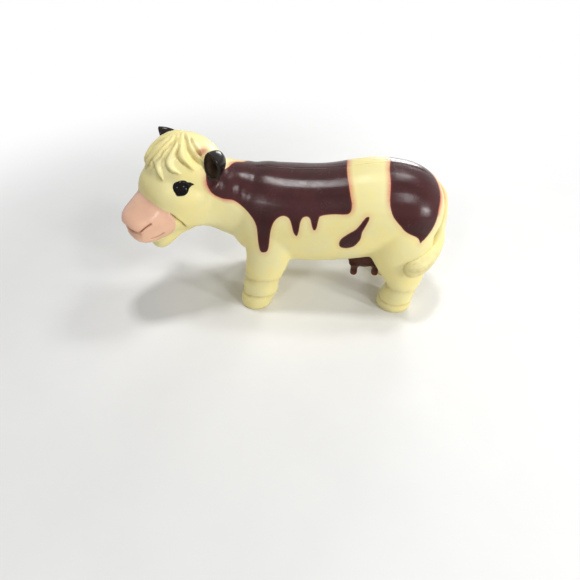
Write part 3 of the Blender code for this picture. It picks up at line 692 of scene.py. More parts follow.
@dataclass(frozen=True)
class Patches:
    """The sprayed maroon patches, laid out flat: along the cow, and round from the spine to the left."""

    radius: float = 18.0
    reach: float = 6.0
    bend_start: float = 12.0
    bend_end: float = -12.0
    axis_height: float = 35.0
    head_left: float = 4.0
    head_rise: float = 11.0
    loose_spray: float = 0.30
    heavy_spray: float = 0.90
    red_from: float = 60.0
    red_width: float = 1.0
    shoulder: Outline = (
        (43.3, 6.6), (44.3, 13.1), (44.9, 16.0), (44.7, 18.4), (43.3, 19.5), (38.8, 19.6), (34.8, 20.3),
        (34.0, 21.6), (33.4, 24.9), (32.6, 25.8), (31.9, 24.5), (31.2, 21.7), (30.2, 20.7), (28.7, 21.1),
        (27.8, 23.0), (27.3, 26.5), (26.6, 28.5), (25.5, 26.9), (24.7, 23.6), (23.8, 21.5), (21.9, 20.7),
        (19.9, 21.7), (18.4, 23.9), (17.4, 27.8), (16.9, 32.4), (16.3, 34.7), (15.0, 35.4), (13.6, 35.0),
        (12.9, 31.3), (12.5, 25.4), (11.0, 21.8), (8.3, 18.8), (5.0, 17.0), (3.0, 17.5), (0.9, 18.4),
        (-1.9, 18.3), (-2.9, 16.3), (-3.2, 13.7), (-2.6, 11.0), (-0.6, 8.5), (2.2, 4.0), (4.2, -0.4),
        (7.1, -1.6), (8.7, -4.5), (10.0, -6.5), (12.0, -9.5), (14.0, -13.0), (15.2, -18.0),
        (16.0, -24.0), (17.2, -27.5), (18.6, -24.0), (19.4, -18.5), (21.5, -15.8), (24.0, -17.0),
        (25.4, -21.0), (26.3, -23.2), (27.4, -20.5), (28.8, -16.0), (32.0, -13.8), (36.0, -14.5),
        (40.5, -12.5), (43.0, -8.0), (43.6, -3.5), (43.2, 1.5))
    teardrop: Outline = (
        (50.8, 20.1), (49.8, 20.3), (48.5, 22.2), (46.8, 24.7), (44.3, 26.7), (42.1, 28.9), (41.5, 31.3),
        (42.4, 33.1), (44.5, 33.5), (46.6, 32.6), (48.0, 30.5), (48.8, 28.4), (49.0, 25.8), (50.1, 23.1),
        (50.9, 21.0))
    rump: Outline = (
        (58.5, -3.2), (57.3, 3.7), (57.4, 9.5), (57.3, 14.3), (57.7, 17.1), (58.9, 19.9), (61.6, 23.0),
        (64.3, 25.8), (67.8, 27.7), (69.0, 29.0), (69.6, 30.4), (70.2, 29.6), (71.1, 29.0), (73.3, 26.2),
        (74.6, 21.0), (75.0, 15.9), (75.4, 12.3), (75.4, 7.7), (74.6, 3.0), (73.0, -1.9), (71.5, -6.0),
        (72.5, -12.0), (71.5, -18.0), (69.0, -22.5), (66.5, -24.0), (64.5, -21.0), (62.0, -18.0),
        (59.5, -15.5), (58.3, -9.5))
    right_flank: Outline = (
        (46.0, -24.0), (50.0, -21.0), (54.0, -22.5), (55.5, -26.5), (52.5, -30.0), (48.0, -30.5),
        (45.0, -28.0))
    right_cheek: Outline = (
        (1.0, -12.0), (3.5, -15.0), (3.0, -19.0), (0.0, -20.5), (-2.5, -18.0), (-2.0, -14.0))
    rump_edge: Outline = (
        (72.4, -5.0), (73.0, -1.9), (74.6, 3.0), (75.4, 7.7), (75.4, 12.3), (75.0, 15.9), (74.6, 19.0))
    sprayed: tuple[Row, ...] = (
        (44.4, 9.0, 9.5), (57.3, 5.0, 11.0), (0.0, 18.4, 6.0), (75.4, 8.0, 8.0), (43.4, -6.0, 8.0),
        (6.0, -1.0, 5.0))

    def flat(self, points: np.ndarray) -> np.ndarray:
        """Lays points of the body and of the back of the head out flat.

        Args:
            points: the points.

        Returns:
            How far each is along the cow, and how far round from the spine to the left.
        """
        share = gone(points[:, 0], self.bend_start, self.bend_end)
        share = share ** 2 * (3 - 2 * share)
        out = -points[:, 1] - self.head_left * share
        rise = points[:, 2] - self.axis_height - self.head_rise * share
        return np.stack((points[:, 0], np.arctan2(out, rise) * self.radius), axis=1)

    def depth(self, points: np.ndarray) -> np.ndarray:
        """Measures how far points lie inside the patches.

        Args:
            points: the points.

        Returns:
            The distance to the nearest edge, below zero outside the patches.
        """
        places = self.flat(points)
        deepest = np.full(len(points), -self.reach)
        for outline in (self.shoulder, self.teardrop, self.rump, self.right_flank, self.right_cheek):
            curve = np.array(eased(outline, closed=True))
            deepest = np.maximum(deepest, outline_distance(places, curve, self.reach))
        return deepest

    def overspray(self, points: np.ndarray) -> np.ndarray:
        """Measures how much loose spray lies round the patches' edges.

        Args:
            points: the points.

        Returns:
            An amount from 0 to 1 for each.
        """
        places = self.flat(points)
        amount = np.full(len(points), self.loose_spray)
        for along, around, size in self.sprayed:
            distance = np.hypot(places[:, 0] - along, places[:, 1] - around)
            amount += self.heavy_spray * bell(distance, size, 4)
        return np.clip(amount, 0, 1)

    def reddened(self, points: np.ndarray) -> np.ndarray:
        """How much light red spray reaches the skin beside the rump patch."""
        distance, _ = line_distance(self.flat(points), np.array(self.rump_edge))
        return np.where(points[:, 0] > self.red_from, 0.9 * bell(distance, self.red_width), 0.0)

    def marks(self, points: np.ndarray, **own: np.ndarray) -> Marks:
        """Works out the values that the paint follows on one piece.

        Args:
            points: the piece's points before shaping.
            own: the piece's own values, in place of those of a skin far from face, blush and mould line.

        Returns:
            One number per point, by the name of the value.
        """
        far = np.full(len(points), self.reach)
        return {"patch_depth": self.depth(points), "overspray": self.overspray(points), "across": far,
                "nose_depth": -far, "eye_depth": -far, "blush": far * 0, "hollow": far * 0} | own


def opened(form: Form, marks: Marks, outward: bool = False) -> bmesh.types.BMesh:
    """Opens a shaped form for cutting.

    Args:
        form: the form.
        marks: values to keep for each point, by name.
        outward: whether its faces still have to be turned outwards.

    Returns:
        The form, open for editing.
    """
    mesh = form.mesh()
    for name, numbers in marks.items():
        attribute = mesh.attributes.new(name, "FLOAT", "POINT")
        attribute.data.foreach_set("value", numbers.astype(np.float32))
    cutter = bmesh.new()
    cutter.from_mesh(mesh)
    bpy.data.meshes.remove(mesh)
    if outward:
        bmesh.ops.recalc_face_normals(cutter, faces=cutter.faces)
    return cutter


def place_piece(name: str, cutter: bmesh.types.BMesh, nodes: tuple[str, ...],
                material: bpy.types.Material) -> None:
    """Puts an edited form into the scene as one piece of the cow.

    Args:
        name: the piece's name.
        cutter: the edited form, in the cow's own frame.
        nodes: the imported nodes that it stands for.
        material: its material.
    """
    mesh = bpy.data.meshes.new(name)
    bmesh.ops.transform(cutter, verts=cutter.verts, matrix=TO_MODEL)
    cutter.to_mesh(mesh)
    cutter.free()
    mesh.polygons.foreach_set("use_smooth", np.ones(len(mesh.polygons), bool))
    mesh.materials.append(material)
    piece = put_in_scene(name, mesh)
    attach(piece, "root")
    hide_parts(*nodes)
    LOG.info("%s: %d faces for %s", name, len(mesh.polygons), ", ".join(nodes))


def cut(cutter: bmesh.types.BMesh, point: np.ndarray, away: np.ndarray, clear: bool = True) -> None:
    """Splits an edited form along a plane.

    Args:
        cutter: the form.
        point: a point of the plane.
        away: the way in which the plane faces.
        clear: whether what lies on that side goes.
    """
    everything = list(cutter.verts) + list(cutter.edges) + list(cutter.faces)
    bmesh.ops.bisect_plane(cutter, geom=everything, dist=TOUCH / 10, plane_co=Vector(point),
                           plane_no=Vector(away), clear_outer=clear)


def close_soles(cutter: bmesh.types.BMesh) -> None:
    """Closes the hooves where they stand on the floor.

    Args:
        cutter: the form, cut off at the floor.
    """
    rims = [edge for edge in cutter.edges
            if edge.is_boundary and all(abs(vertex.co.z) < TOUCH for vertex in edge.verts)]
    bmesh.ops.holes_fill(cutter, edges=rims, sides=0)
    for edge in rims:
        edge.smooth = False


def turn_rims_in(cutter: bmesh.types.BMesh) -> None:
    """Turns every open rim inwards, so that a seam shows the wall's thickness.

    Args:
        cutter: the open form.
    """
    def place(vertex: bmesh.types.BMVert) -> tuple[float, ...]:
        """Where a point is, to a tenth of a micron."""
        return tuple(round(length, 4) for length in vertex.co)

    cutter.normal_update()
    rims = [edge for edge in cutter.edges if edge.is_boundary]
    for edge in rims:
        edge.smooth = False
    facing = {place(vertex): vertex.normal.copy() for edge in rims for vertex in edge.verts}
    for element in bmesh.ops.extrude_edge_only(cutter, edges=rims)["geom"]:
        if isinstance(element, bmesh.types.BMVert) and place(element) in facing:
            element.co -= facing[place(element)] * RIM_DEPTH


# Locks of hair from the crown down, as degrees round to the head's left and up: first the ridges
LEFT_RIDGES: tuple[Outline, ...] = (
    ((13.4, 75.2), (21.9, 66.3), (19.8, 57.9), (16.6, 50.7), (12.5, 43.7), (7.4, 34.8)),
    ((6.0, 77.7), (24.8, 67.6), (26.1, 60.2), (24.2, 53.8), (21.3, 48.4), (21.2, 42.3), (26.0, 35.1),
     (31.0, 28.8)),
    ((21.4, 81.5), (41.9, 70.3), (40.6, 62.0), (36.9, 53.7), (36.6, 48.2), (40.6, 43.3), (47.2, 40.3),
     (56.0, 38.2)),
    ((32.7, 87.0), (55.8, 70.7), (56.3, 62.8), (58.9, 55.8), (63.8, 50.4), (69.0, 45.6), (74.6, 41.4)),
    ((93.6, 86.6), (77.5, 70.7), (79.1, 63.3), (82.6, 56.5), (87.0, 51.1), (92.0, 43.5)),
    ((100.0, 80.0), (90.0, 70.4), (91.5, 62.9), (95.0, 55.5)))
RIGHT_RIDGES: tuple[Outline, ...] = (
    ((-9.0, 73.6), (5.4, 63.1), (4.9, 52.8), (0.4, 43.8), (-5.5, 32.6)),
    ((-30.0, 82.0), (-24.0, 70.0), (-27.0, 60.0), (-25.0, 51.0), (-22.0, 43.0), (-25.0, 36.0),
     (-31.0, 29.5)),
    ((-50.0, 84.0), (-44.0, 70.0), (-43.0, 61.0), (-41.0, 52.6), (-42.0, 46.8), (-47.0, 42.8),
     (-56.0, 38.5)),
    ((-70.0, 84.2), (-62.0, 68.0), (-62.0, 58.0), (-66.0, 51.0), (-73.0, 46.2), (-81.0, 41.5)),
    ((-88.0, 82.0), (-80.0, 69.0), (-82.0, 60.0), (-87.0, 52.5), (-94.0, 46.0)))

# The cuts between the locks
LEFT_CUTS: tuple[Outline, ...] = (
    ((3.9, 74.7), (12.1, 66.5), (13.8, 57.5), (9.3, 47.7), (3.6, 40.7), (-7.4, 30.1)),
    ((30.4, 72.5), (28.6, 63.0), (24.1, 55.6), (22.8, 50.5), (17.5, 44.5)),
    ((11.3, 45.4), (16.1, 40.4), (20.4, 36.2), (25.0, 32.5), (28.4, 29.2)),
    ((35.7, 76.4), (38.0, 65.0), (33.8, 55.0), (31.9, 49.4), (33.2, 45.0), (37.8, 41.2), (42.4, 39.0),
     (51.5, 38.0)),
    ((53.3, 66.6), (49.0, 60.7), (47.7, 55.8), (52.6, 52.1), (58.7, 49.1), (66.0, 45.1), (71.3, 42.0)),
    ((60.8, 85.0), (70.0, 73.6), (70.2, 65.5), (73.4, 59.4), (77.1, 53.9), (82.3, 50.0), (90.0, 45.4)),
    ((96.0, 78.0), (84.5, 70.0), (86.0, 62.5), (89.5, 56.0), (94.0, 50.5)))
RIGHT_CUTS: tuple[Outline, ...] = (
    ((-20.0, 76.0), (-14.0, 66.0), (-16.0, 56.0), (-13.0, 46.0), (-16.0, 38.0), (-25.0, 30.0)),
    ((-36.0, 74.0), (-35.0, 65.0), (-33.0, 55.0), (-32.0, 47.0), (-37.0, 41.5), (-50.0, 38.0)),
    ((-58.0, 74.0), (-53.0, 64.0), (-53.0, 55.0), (-58.0, 49.0), (-71.0, 43.0)),
    ((-78.0, 74.0), (-71.0, 64.0), (-74.0, 55.0), (-80.0, 49.0), (-88.0, 45.0)))


@dataclass(frozen=True)
class Line:
    """A groove on the head, through degrees round to the left and up, with painted shade of the given
    darkness in it.
    """

    directions: Outline
    radius: float
    depth: float
    dirt: float
    drop: float = 0.0
    ends: float = 1 / 6


# Grooves of the muzzle; the fourth number is the painted shade in each groove, and the wide groove under
# the mouth paints shade in the recess under the nose pad.
NOSTRIL = Line(((16.2, -16.3), (18.0, -15.9), (20.5, -14.1), (22.4, -13.1), (24.4, -12.1)), 0.25, 1.05, 1.6)
SMILE = Line(((22.2, -23.7), (24.0, -24.6), (26.5, -25.2), (29.0, -24.8), (31.5, -23.9)), 0.24, 0.90, 1.6)
CHEEK = Line(((38.0, -6.0), (41.1, -9.4), (45.0, -16.0), (48.1, -22.7), (49.0, -32.0), (48.9, -38.0)),
             0.36, 0.95, 1.6)
LIPS = ((-24.5, -21.4), (-20.5, -20.5), (-17.1, -19.5), (-12.5, -18.0), (-7.2, -16.5), (-2.0, -14.6),
        (3.4, -13.9), (7.9, -14.5), (12.4, -15.8), (16.0, -16.8), (18.6, -18.2))
MOUTH = Line(LIPS, 0.55, 0.90, 1.3)
UNDER_MOUTH = Line(LIPS, 1.30, 0.80, 0.50, 1.1, 0.45)

# Pads and dips of the muzzle: degrees round to the left and up, radius, height
PADS: tuple[Row, ...] = (
    (0.0, -3.0, 5.0, 0.55), (-4.0, -21.5, 4.2, -1.80), (8.0, -24.0, 3.2, -0.70), (3.0, -33.0, 4.5, -1.10),
    (0.0, 7.0, 4.5, -0.80), (0.0, -9.5, 2.6, 0.45), (27.0, -60.0, 6.0, -1.90), (-27.0, -60.0, 6.0, -1.90))
SIDE_PADS: tuple[Row, ...] = ((30.0, -14.5, 4.0, 0.60), (14.0, -22.0, 2.6, 0.30))


@dataclass
class HeadSkin:
    """The head's skin, with its locks of hair, muzzle creases and painted eye rims."""

    figure: Figure
    patches: Patches
    voxel: float = 0.25
    rounds: int = 117
    ridge_half_width: float = 1.45
    ridge_height: float = 1.10
    far_ridge_height: float = 0.70
    cut_radius: float = 0.42
    cut_depth: float = 0.50
    eye_radius: float = 16.5
    nose_radius: float = 21.0
    overlap: float = 1.5
    waviness: Pair = (7.0, 0.10)
    cheek: Place = (3.0, 9.8, -9.3)
    cheek_pad: Pair = (4.2, 1.70)
    lip_shade: Row = (-3.0, -26.0, 3.4, 0.60)
    face_from: float = 4.0
    blush_spot: Place = (-1.6, 7.9, 14.5)
    blush_size: Place = (1.7, 2.4, 0.8)
    eye_outline: Outline = (
        (45.4, 21.4), (46.7, 26.4), (49.7, 30.2), (54.9, 31.6), (60.0, 31.0), (62.2, 29.4),
        (65.6, 29.0), (68.4, 27.6), (71.0, 26.0), (66.6, 24.4), (63.1, 21.3), (60.3, 17.9),
        (56.9, 15.0), (52.1, 13.6), (48.5, 13.9), (46.4, 17.0))
    nose_outline: Outline = (
        (0.0, 5.8), (11.5, 5.5), (21.1, 3.1), (31.1, -1.0), (39.5, -6.7), (42.0, -12.0),
        (42.4, -19.1), (39.0, -27.5), (33.5, -33.0), (26.0, -36.0), (18.0, -33.0), (9.0, -31.0),
        (0.0, -30.5))

    def build(self, material: bpy.types.Material) -> Form:
        """Builds the head and puts it in the scene.

        Args:
            material: the painted vinyl.

        Returns:
            The smooth head before shaping, which ears and eyes sit on.
        """
        whole = blended(joined(self.figure.head_and_neck()), self.voxel, self.rounds)
        seam = self.figure.seam
        smooth = whole.kept(seam.beyond(whole.points) > -self.overlap)
        clay = Clay(smooth)
        tree = smooth.tree()
        self._comb_hair(clay, tree)
        self._shape_muzzle(clay, tree)
        seam.crease(clay)
        clay.unevenness(*self.waviness)
        cutter = opened(clay.shaped(), self._marks(smooth.points, clay))
        cut(cutter, seam.centre, -seam.towards_head())
        turn_rims_in(cutter)
        place_piece("head_skin", cutter, ("head_shell",), material)
        return smooth

    def _comb_hair(self, clay: Clay, tree: BVHTree) -> None:
        """Lays the locks of the forelock over the head.

        Args:
            clay: the head's skin.
            tree: the smooth head.
        """
        head = self.figure.head
        rise = np.zeros(len(clay.push))
        for ridges, height in ((LEFT_RIDGES, self.ridge_height), (RIGHT_RIDGES, self.far_ridge_height)):
            for directions in ridges:
                line = head.stroke(tree, directions)
                rise = np.maximum(rise, clay.lock(line, self.ridge_half_width, height))
        clay.push += rise
        # The cuts between the locks, with full painted shade in them.
        for directions in LEFT_CUTS + RIGHT_CUTS:
            clay.groove(head.stroke(tree, directions), self.cut_radius, self.cut_depth, 1.0)

    def _shape_muzzle(self, clay: Clay, tree: BVHTree) -> None:
        """Presses the nostrils, the mouth and the smile into the muzzle with painted shade in them, raises
        its pads, and paints shade under the nose pad.

        Args:
            clay: the head's skin.
            tree: the smooth head.
        """
        head = self.figure.head

        def press(line: Line, sign: int = 1) -> None:
            """Presses one groove, mirrored where the sign is -1."""
            course = head.stroke(tree, line.directions, sign) - line.drop * UP
            clay.groove(course, line.radius, line.depth, line.dirt, line.ends)

        for turn, rise, radius, height in PADS:
            clay.swell(head.on_skin(tree, turn, rise)[0], radius, height)
        for sign in (side.value for side in Side):
            forward, left, up = self.cheek
            clay.swell(head.place(forward, sign * left, up), *self.cheek_pad)
            for turn, rise, radius, height in SIDE_PADS:
                clay.swell(head.on_skin(tree, sign * turn, rise)[0], radius, height)
            for line in (NOSTRIL, SMILE, CHEEK):
                press(line, sign)
        press(MOUTH)
        press(UNDER_MOUTH)
        # Painted shade in the recess under the nose pad.
        turn, rise, radius, amount = self.lip_shade
        clay.darken(amount * clay.around(head.on_skin(tree, turn, rise)[0], radius))

    def _inside(self, points: np.ndarray, outline: Outline, radius: float) -> np.ndarray:
        """How far points lie inside an outline given in degrees round to the left and up."""
        curve = np.radians(eased(outline, closed=True)) * radius
        return outline_distance(self.figure.head.spread(points, radius), curve, self.patches.reach)

    def _marks(self, points: np.ndarray, clay: Clay) -> Marks:
        """Works out the values that the head's paint follows.

        Args:
            points: the head's points before shaping.
            clay: the shaped head.

        Returns:
            One number per point, by the name of the value.
        """
        head = self.figure.head
        eyes = [self._inside(points, tuple((side.value * turn, rise) for turn, rise in self.eye_outline),
                             self.eye_radius) for side in Side]
        right_half = tuple((-turn, rise) for turn, rise in reversed(self.nose_outline[1:-1]))
        nose = self._inside(points, self.nose_outline + right_half, self.nose_radius)
        nose = np.where(head.local(points)[:, 0] > self.face_from, nose, -self.patches.reach)
        offset = (points - head.place(*self.blush_spot)) / self.blush_size
        return self.patches.marks(points, nose_depth=nose, eye_depth=np.maximum(*eyes), hollow=clay.hollow,
                                  blush=np.exp(-np.sum(offset ** 2, axis=1)))


@dataclass
class BodySkin:
    """The two halves of the body with their legs, and the strip along the spine."""

    figure: Figure
    patches: Patches
    voxel: float = 0.42
    rounds: int = 41
    strip_half_width: float = 1.30
    strip_gap: float = 0.08
    strip_start: float = 9.48
    strip_end: float = 71.5
    strip_proud: float = 0.15
    strip_taper: float = 4.0
    strip_above: float = 40.0
    above: float = 90.0
    hoof_nick: Place = (14.0, -17.3, 0.7)
    nick_radius: float = 0.55
    nick_dirt: float = 1.8
    overlap: float = 2.0
    below_floor: float = 1.5
    waviness: Pair = (9.0, 0.12)
    leg_top: Pair = (17.5, 16.0)
    leg_middle: float = 12.3
    hind_from: float = 40.0
    hoof_reach: float = 9.0
    hoof_round: float = 0.7
    hoof_draw: float = 0.055
    joint_gap: float = 0.005
    # Creases of the legs: height, tilt to the outside, depth, radius
    front_creases: tuple[Row, ...] = (
        (16.4, 0.30, 0.26, 0.85), (12.1, 0.42, 0.42, 0.75), (5.75, 0.12, 0.50, 0.60))
    hind_creases: tuple[Row, ...] = ((10.2, 0.10, 0.30, 0.90), (4.35, -0.18, 0.50, 0.60))

    def build(self, material: bpy.types.Material) -> Form:
        """Builds both halves and the strip, and puts them in the scene.

        Args:
            material: the painted vinyl.

        Returns:
            The smooth body, which tail and udder sit on.
        """
        whole = blended(joined(self.figure.head_and_neck() + self.figure.legs()), self.voxel, self.rounds)
        seam = self.figure.seam
        inside = (seam.beyond(whole.points) < self.overlap) & (whole.points[:, 2] > -self.below_floor)
        smooth = whole.kept(inside)
        clay = Clay(smooth)
        points = smooth.points
        self._crease_legs(clay)
        seam.crease(clay)
        clay.darken(self.nick_dirt * clay.around(np.array(self.hoof_nick), self.nick_radius))
        clay.unevenness(*self.waviness)
        shaped = clay.shaped()
        self._round_hooves(shaped)
        marks = self.patches.marks(points, hollow=clay.hollow, blush=self.patches.reddened(points),
                                   across=points[:, 1])
        for side in Side:
            self._half(opened(shaped, marks), side, material)
        self._strip(smooth.tree(), material)
        return smooth

    def _crease_legs(self, clay: Clay) -> None:
        """Presses the creases of knees, fetlocks and hooves, and paints shade into them.

        Args:
            clay: the body's skin.
        """
        points = clay.form.points
        outward = np.abs(points[:, 1]) - self.leg_middle
        leg = gone(points[:, 2], *self.leg_top)
        front = points[:, 0] < self.hind_from
        for creases, here in ((self.front_creases, front), (self.hind_creases, ~front)):
            for height, tilt, depth, radius in creases:
                shape = bell(points[:, 2] - height - tilt * outward, radius) * leg * here
                clay.push -= depth * shape
                # Painted shade in the crease, darker where it is deeper.
                clay.darken(1.5 * depth * shape)

    def _round_hooves(self, form: Form) -> None:
        """Draws the hooves in a little where they meet the floor.

        Args:
            form: the shaped body, whose points are moved.
        """
        points = form.points
        for along, out, *_ in (FRONT_LEG_SHARES[-1], HIND_LEG_SHARES[-1]):
            for side in Side:
                middle = self.figure.trunk_point(along, side.value * out, 0.0)[:2]
                near = ((np.hypot(*(points[:, :2] - middle).T) < self.hoof_reach)
                        & (points[:, 2] < self.hoof_round))
                draw = self.hoof_draw * np.clip(1 - points[near, 2] / self.hoof_round, 0, 1) ** 2
                points[near, :2] -= (points[near, :2] - middle) * draw[:, None]

    def _half(self, cutter: bmesh.types.BMesh, side: Side, material: bpy.types.Material) -> None:
        """Cuts one half of the body out of the whole and puts it in the scene.

        Args:
            cutter: the whole body, open for editing.
            side: the half to keep.
            material: the painted vinyl.
        """
        seam = self.figure.seam
        away = side.value * LEVEL
        cut(cutter, -self.joint_gap * away, away)
        cut(cutter, np.zeros(3), -UP)
        cut(cutter, seam.centre, seam.towards_head())
        edge = self.strip_half_width + self.strip_gap
        cut(cutter, -edge * away, away, False)
        start, end = self.strip_start - self.strip_gap / 4, self.strip_end + self.strip_gap / 4
        for along in (start, end):
            cut(cutter, along * ALONG, ALONG, False)
        trench = []
        for face in cutter.faces:
            middle = face.calc_center_median()
            if abs(middle.y) < edge and middle.z > self.strip_above and start < middle.x < end:
                trench.append(face)
        bmesh.ops.delete(cutter, geom=trench, context="FACES")
        close_soles(cutter)
        turn_rims_in(cutter)
        name = side.name.lower()
        place_piece(f"{name}_body_skin", cutter, (f"{name}_body_shell",), material)

    def _strip(self, tree: BVHTree, material: bpy.types.Material) -> None:
        """Builds the strip that lies in the groove along the spine.

        Args:
            tree: the smooth body.
            material: the painted vinyl.
        """
        shares = np.linspace(-1.0, 1.0, 13)
        rings = []
        for along in np.linspace(self.strip_start, self.strip_end, 160):
            ends = min(along - self.strip_start, self.strip_end - along)
            proud = self.strip_proud * min(1.0, ends / self.strip_taper)
            ring = []
            for share in shares:
                out = share * self.strip_half_width
                hit, _, _, _ = tree.ray_cast(Vector((along, out, self.above)), Vector(-UP))
                ring.append((along, out, hit.z + proud * (1.0 - 1.6 * abs(share) ** 5)))
            low = ring[0][2] - RIM_DEPTH
            ring += [(along, self.strip_half_width, low), (along, -self.strip_half_width, low)]
            rings.append(np.array(ring))
        start, end = (ring[-2:].mean(axis=0) for ring in (rings[0], rings[-1]))
        form = tube(rings, start, end)
        cutter = opened(form, self.patches.marks(form.points), outward=True)
        place_piece("spine_band", cutter, ("spine_strip",), material)


@dataclass
class Ear:
    """A cupped ear with a thick rolled rim, pointed at its front top."""

    figure: Figure
    side: Side
    towards: Place
    height: float = 10.2
    width: float = 6.2
    depth: float = 7.0
    wall: float = 0.85
    sunk: float = 0.65
    contact: float = 0.33
    opening: Place = (0.84, 0.46, -0.05)
    tip: Place = (-0.10, 0.0, 0.99)
    ring_sides: int = 64
    steps: int = 14
    rim_steps: int = 9
    rim_roll: float = 0.12
    rim_swell: float = 0.10
    rim_cup: float = 0.35

    def build(self, skin: BVHTree, material: bpy.types.Material) -> None:
        """Builds the ear on the head's skin.

        Args:
            skin: the smooth head.
            material: the black gloss.
        """
        head = self.figure.head
        axes = head.axes()
        aim = np.array(self.towards) @ axes
        point, facing, _, _ = skin.ray_cast(Vector(head.centre), Vector(unit(aim)))
        forward, left, up = self.opening
        out = unit(np.array((forward, self.side.value * left, up)) @ axes)
        middle = np.array(point) + np.array(facing) * (self.width / 2 - self.sunk)
        middle += out * self.depth * self.contact
        tip = np.array(self.tip) @ axes
        tip = unit(tip - out * tip.dot(out))
        rings, cups = [], []
        for share, inset, lift, cup in self._profile():
            rings.append(middle + self._ring(share, inset, lift) @ np.stack((tip, np.cross(out, tip), out)))
            cups += [cup] * self.ring_sides
        form = tube(rings, middle - out * (self.depth - 0.02), middle - out * (self.depth - self.wall))
        cutter = opened(form, {"cup": np.array(cups + [0.0, 1.0])}, outward=True)
        name = self.side.name.lower()
        place_piece(f"{name}_ear_cup", cutter, (f"{name}_ear",), material)

    def _profile(self) -> list[Row]:
        """Lists the rings from the bottom of the back, over the rim and down into the cup.

        Returns:
            For each ring its share of the way from bottom to rim, its inset, its lift and its share of the
            brown inside, which is painted light just inside the rim and fades to painted shade deeper in.
        """
        rows = [(step / self.steps, 0.0, 0.0, 0.0) for step in range(1, self.steps + 1)]
        roll = self.wall / 2 + self.rim_roll
        for step in range(1, self.rim_steps):
            angle = math.pi * step / self.rim_steps
            rows.append((1.0, roll * (1 - math.cos(angle)) - self.rim_swell * math.sin(angle),
                         roll * math.sin(angle), step / self.rim_steps * self.rim_cup))
        # Inside the cup: painted light on the wall just inside the rim, fading to painted shade deeper in.
        for deep in range(self.steps):
            cup = self.rim_cup + 0.45 * deep if deep < 2 else 1.0 - 0.09 * deep
            rows.append(((self.steps - deep) / self.steps, 2 * roll, 0.0, cup))
        return rows

    def _ring(self, share: float, inset: float, lift: float) -> np.ndarray:
        """Shapes one ring of the ear.

        Args:
            share: how far the ring is from the bottom to the rim.
            inset: how far it is drawn in.
            lift: how far it is lifted over the rim.

        Returns:
            How far each point lies towards the tip, across, and out of the cup.
        """
        angles = circle(self.ring_sides)
        slope = share * math.pi / 2
        inner = np.clip(np.sin(angles) * self.side.value, 0, 1) ** 0.6
        inset = inset * (1 - 0.62 * inner * share ** 8)
        top = np.clip(np.cos(angles), 0, 1)
        tall = (self.height / 2 - inset) * (1 + 0.10 * top ** 6)
        wide = (self.width / 2 * (1 - 0.17 * inner) - inset) * (1 - 0.10 * top)
        spread = math.sin(slope) * (1 + 0.06 * share ** 4)
        back = lift - (self.depth - inset) * math.cos(slope)
        lean = 0.55 * top ** 2 * share ** 3
        return np.stack((np.cos(angles) * tall * spread, np.sin(angles) * wide * spread, back + lean),
                        axis=1)


@dataclass
class Eye:
    """A domed eye bead."""

    figure: Figure
    side: Side
    turn: float = 53.0
    rise: float = 22.6
    length: float = 5.3
    height: float = 5.4
    thickness: float = 3.0
    sunk: float = 0.60
    sides: int = 48
    steps: int = 24

    def build(self, skin: BVHTree, material: bpy.types.Material) -> None:
        """Builds the bead on the head's skin.

        Args:
            skin: the smooth head.
            material: the eye gloss.
        """
        head = self.figure.head
        point, out = head.on_skin(skin, self.side.value * self.turn, self.rise)
        middle = point - out * self.sunk
        length = head.axes()[0]
        length = unit(length - out * length.dot(out))
        rise = np.cross(out, length)
        angles = circle(self.sides)
        squash = 1 - 0.10 * np.clip(-np.cos(angles), 0, 1) ** 3
        rings = []
        for step in range(1, self.steps):
            slope = math.pi * step / self.steps
            rings.append(middle + np.outer(np.cos(angles) * self.length / 2 * math.sin(slope), length)
                         + np.outer(np.sin(angles) * self.height / 2 * math.sin(slope) * squash, rise)
                         - out * math.cos(slope) * self.thickness / 2)
        form = tube(rings, middle - out * self.thickness / 2, middle + out * self.thickness / 2)
        name = self.side.name.lower()
        place_piece(f"{name}_eye_bead", opened(form, {}, outward=True), (f"{name}_eye",),
                    material)


@dataclass
class Udder:
    """The udder with four teats."""

    along: float = 53.6
    height: float = 17.0
    length: float = 16.0
    width: float = 14.0
    depth: float = 11.0
    teat_spacing: float = 7.8
    teat_radius: float = 1.5
    teat_length: float = 5.6
    voxel: float = 0.30
    teat_lean: float = 0.35
    teat_profile: Outline = (
        (0.0, 0.30), (0.25, 0.72), (0.8, 0.98), (2.2, 1.0), (3.6, 0.95), (5.0, 1.25), (6.2, 1.7))
    bag_end: float = 0.12
    cleft_width: float = 0.8
    cleft_depth: float = 0.30
    cleft_top: Pair = (16.0, 13.0)
    teat_colour: Pair = (11.8, 10.0)
    waviness: Pair = (3.5, 0.16)

    def build(self, material: bpy.types.Material) -> None:
        """Builds the udder under the belly.

        Args:
            material: the brown vinyl.
        """
        centre = np.array((self.along, 0.0, self.height))
        forms = [loft([(centre - UP * math.cos(slope) * self.depth / 2, math.sin(slope) * self.width / 2,
                        math.sin(slope) * self.length / 2)
                       for slope in np.linspace(self.bag_end, math.pi - self.bag_end, 18)])]
        for along in (-1, 1):
            for out in (-1, 1):
                corner = np.array((along, out, 0.0))
                tip = (centre + corner * (self.teat_spacing / 2 + self.teat_lean)
                       - UP * (self.depth / 2 + self.teat_length / 2))
                forms.append(loft([(tip + UP * rise, radius * self.teat_radius, radius * self.teat_radius)
                                   for rise, radius in self.teat_profile], sides=20))
        skin = blended(joined(forms), self.voxel, 14)
        height = skin.points[:, 2]
        clay = Clay(skin)
        clay.push -= (self.cleft_depth * bell(skin.points[:, 1], self.cleft_width)
                      * gone(height, *self.cleft_top))
        clay.unevenness(*self.waviness)
        cutter = opened(clay.shaped(), {"teat": gone(height, *self.teat_colour)})
        place_piece("udder_bag", cutter, ("udder",), material)


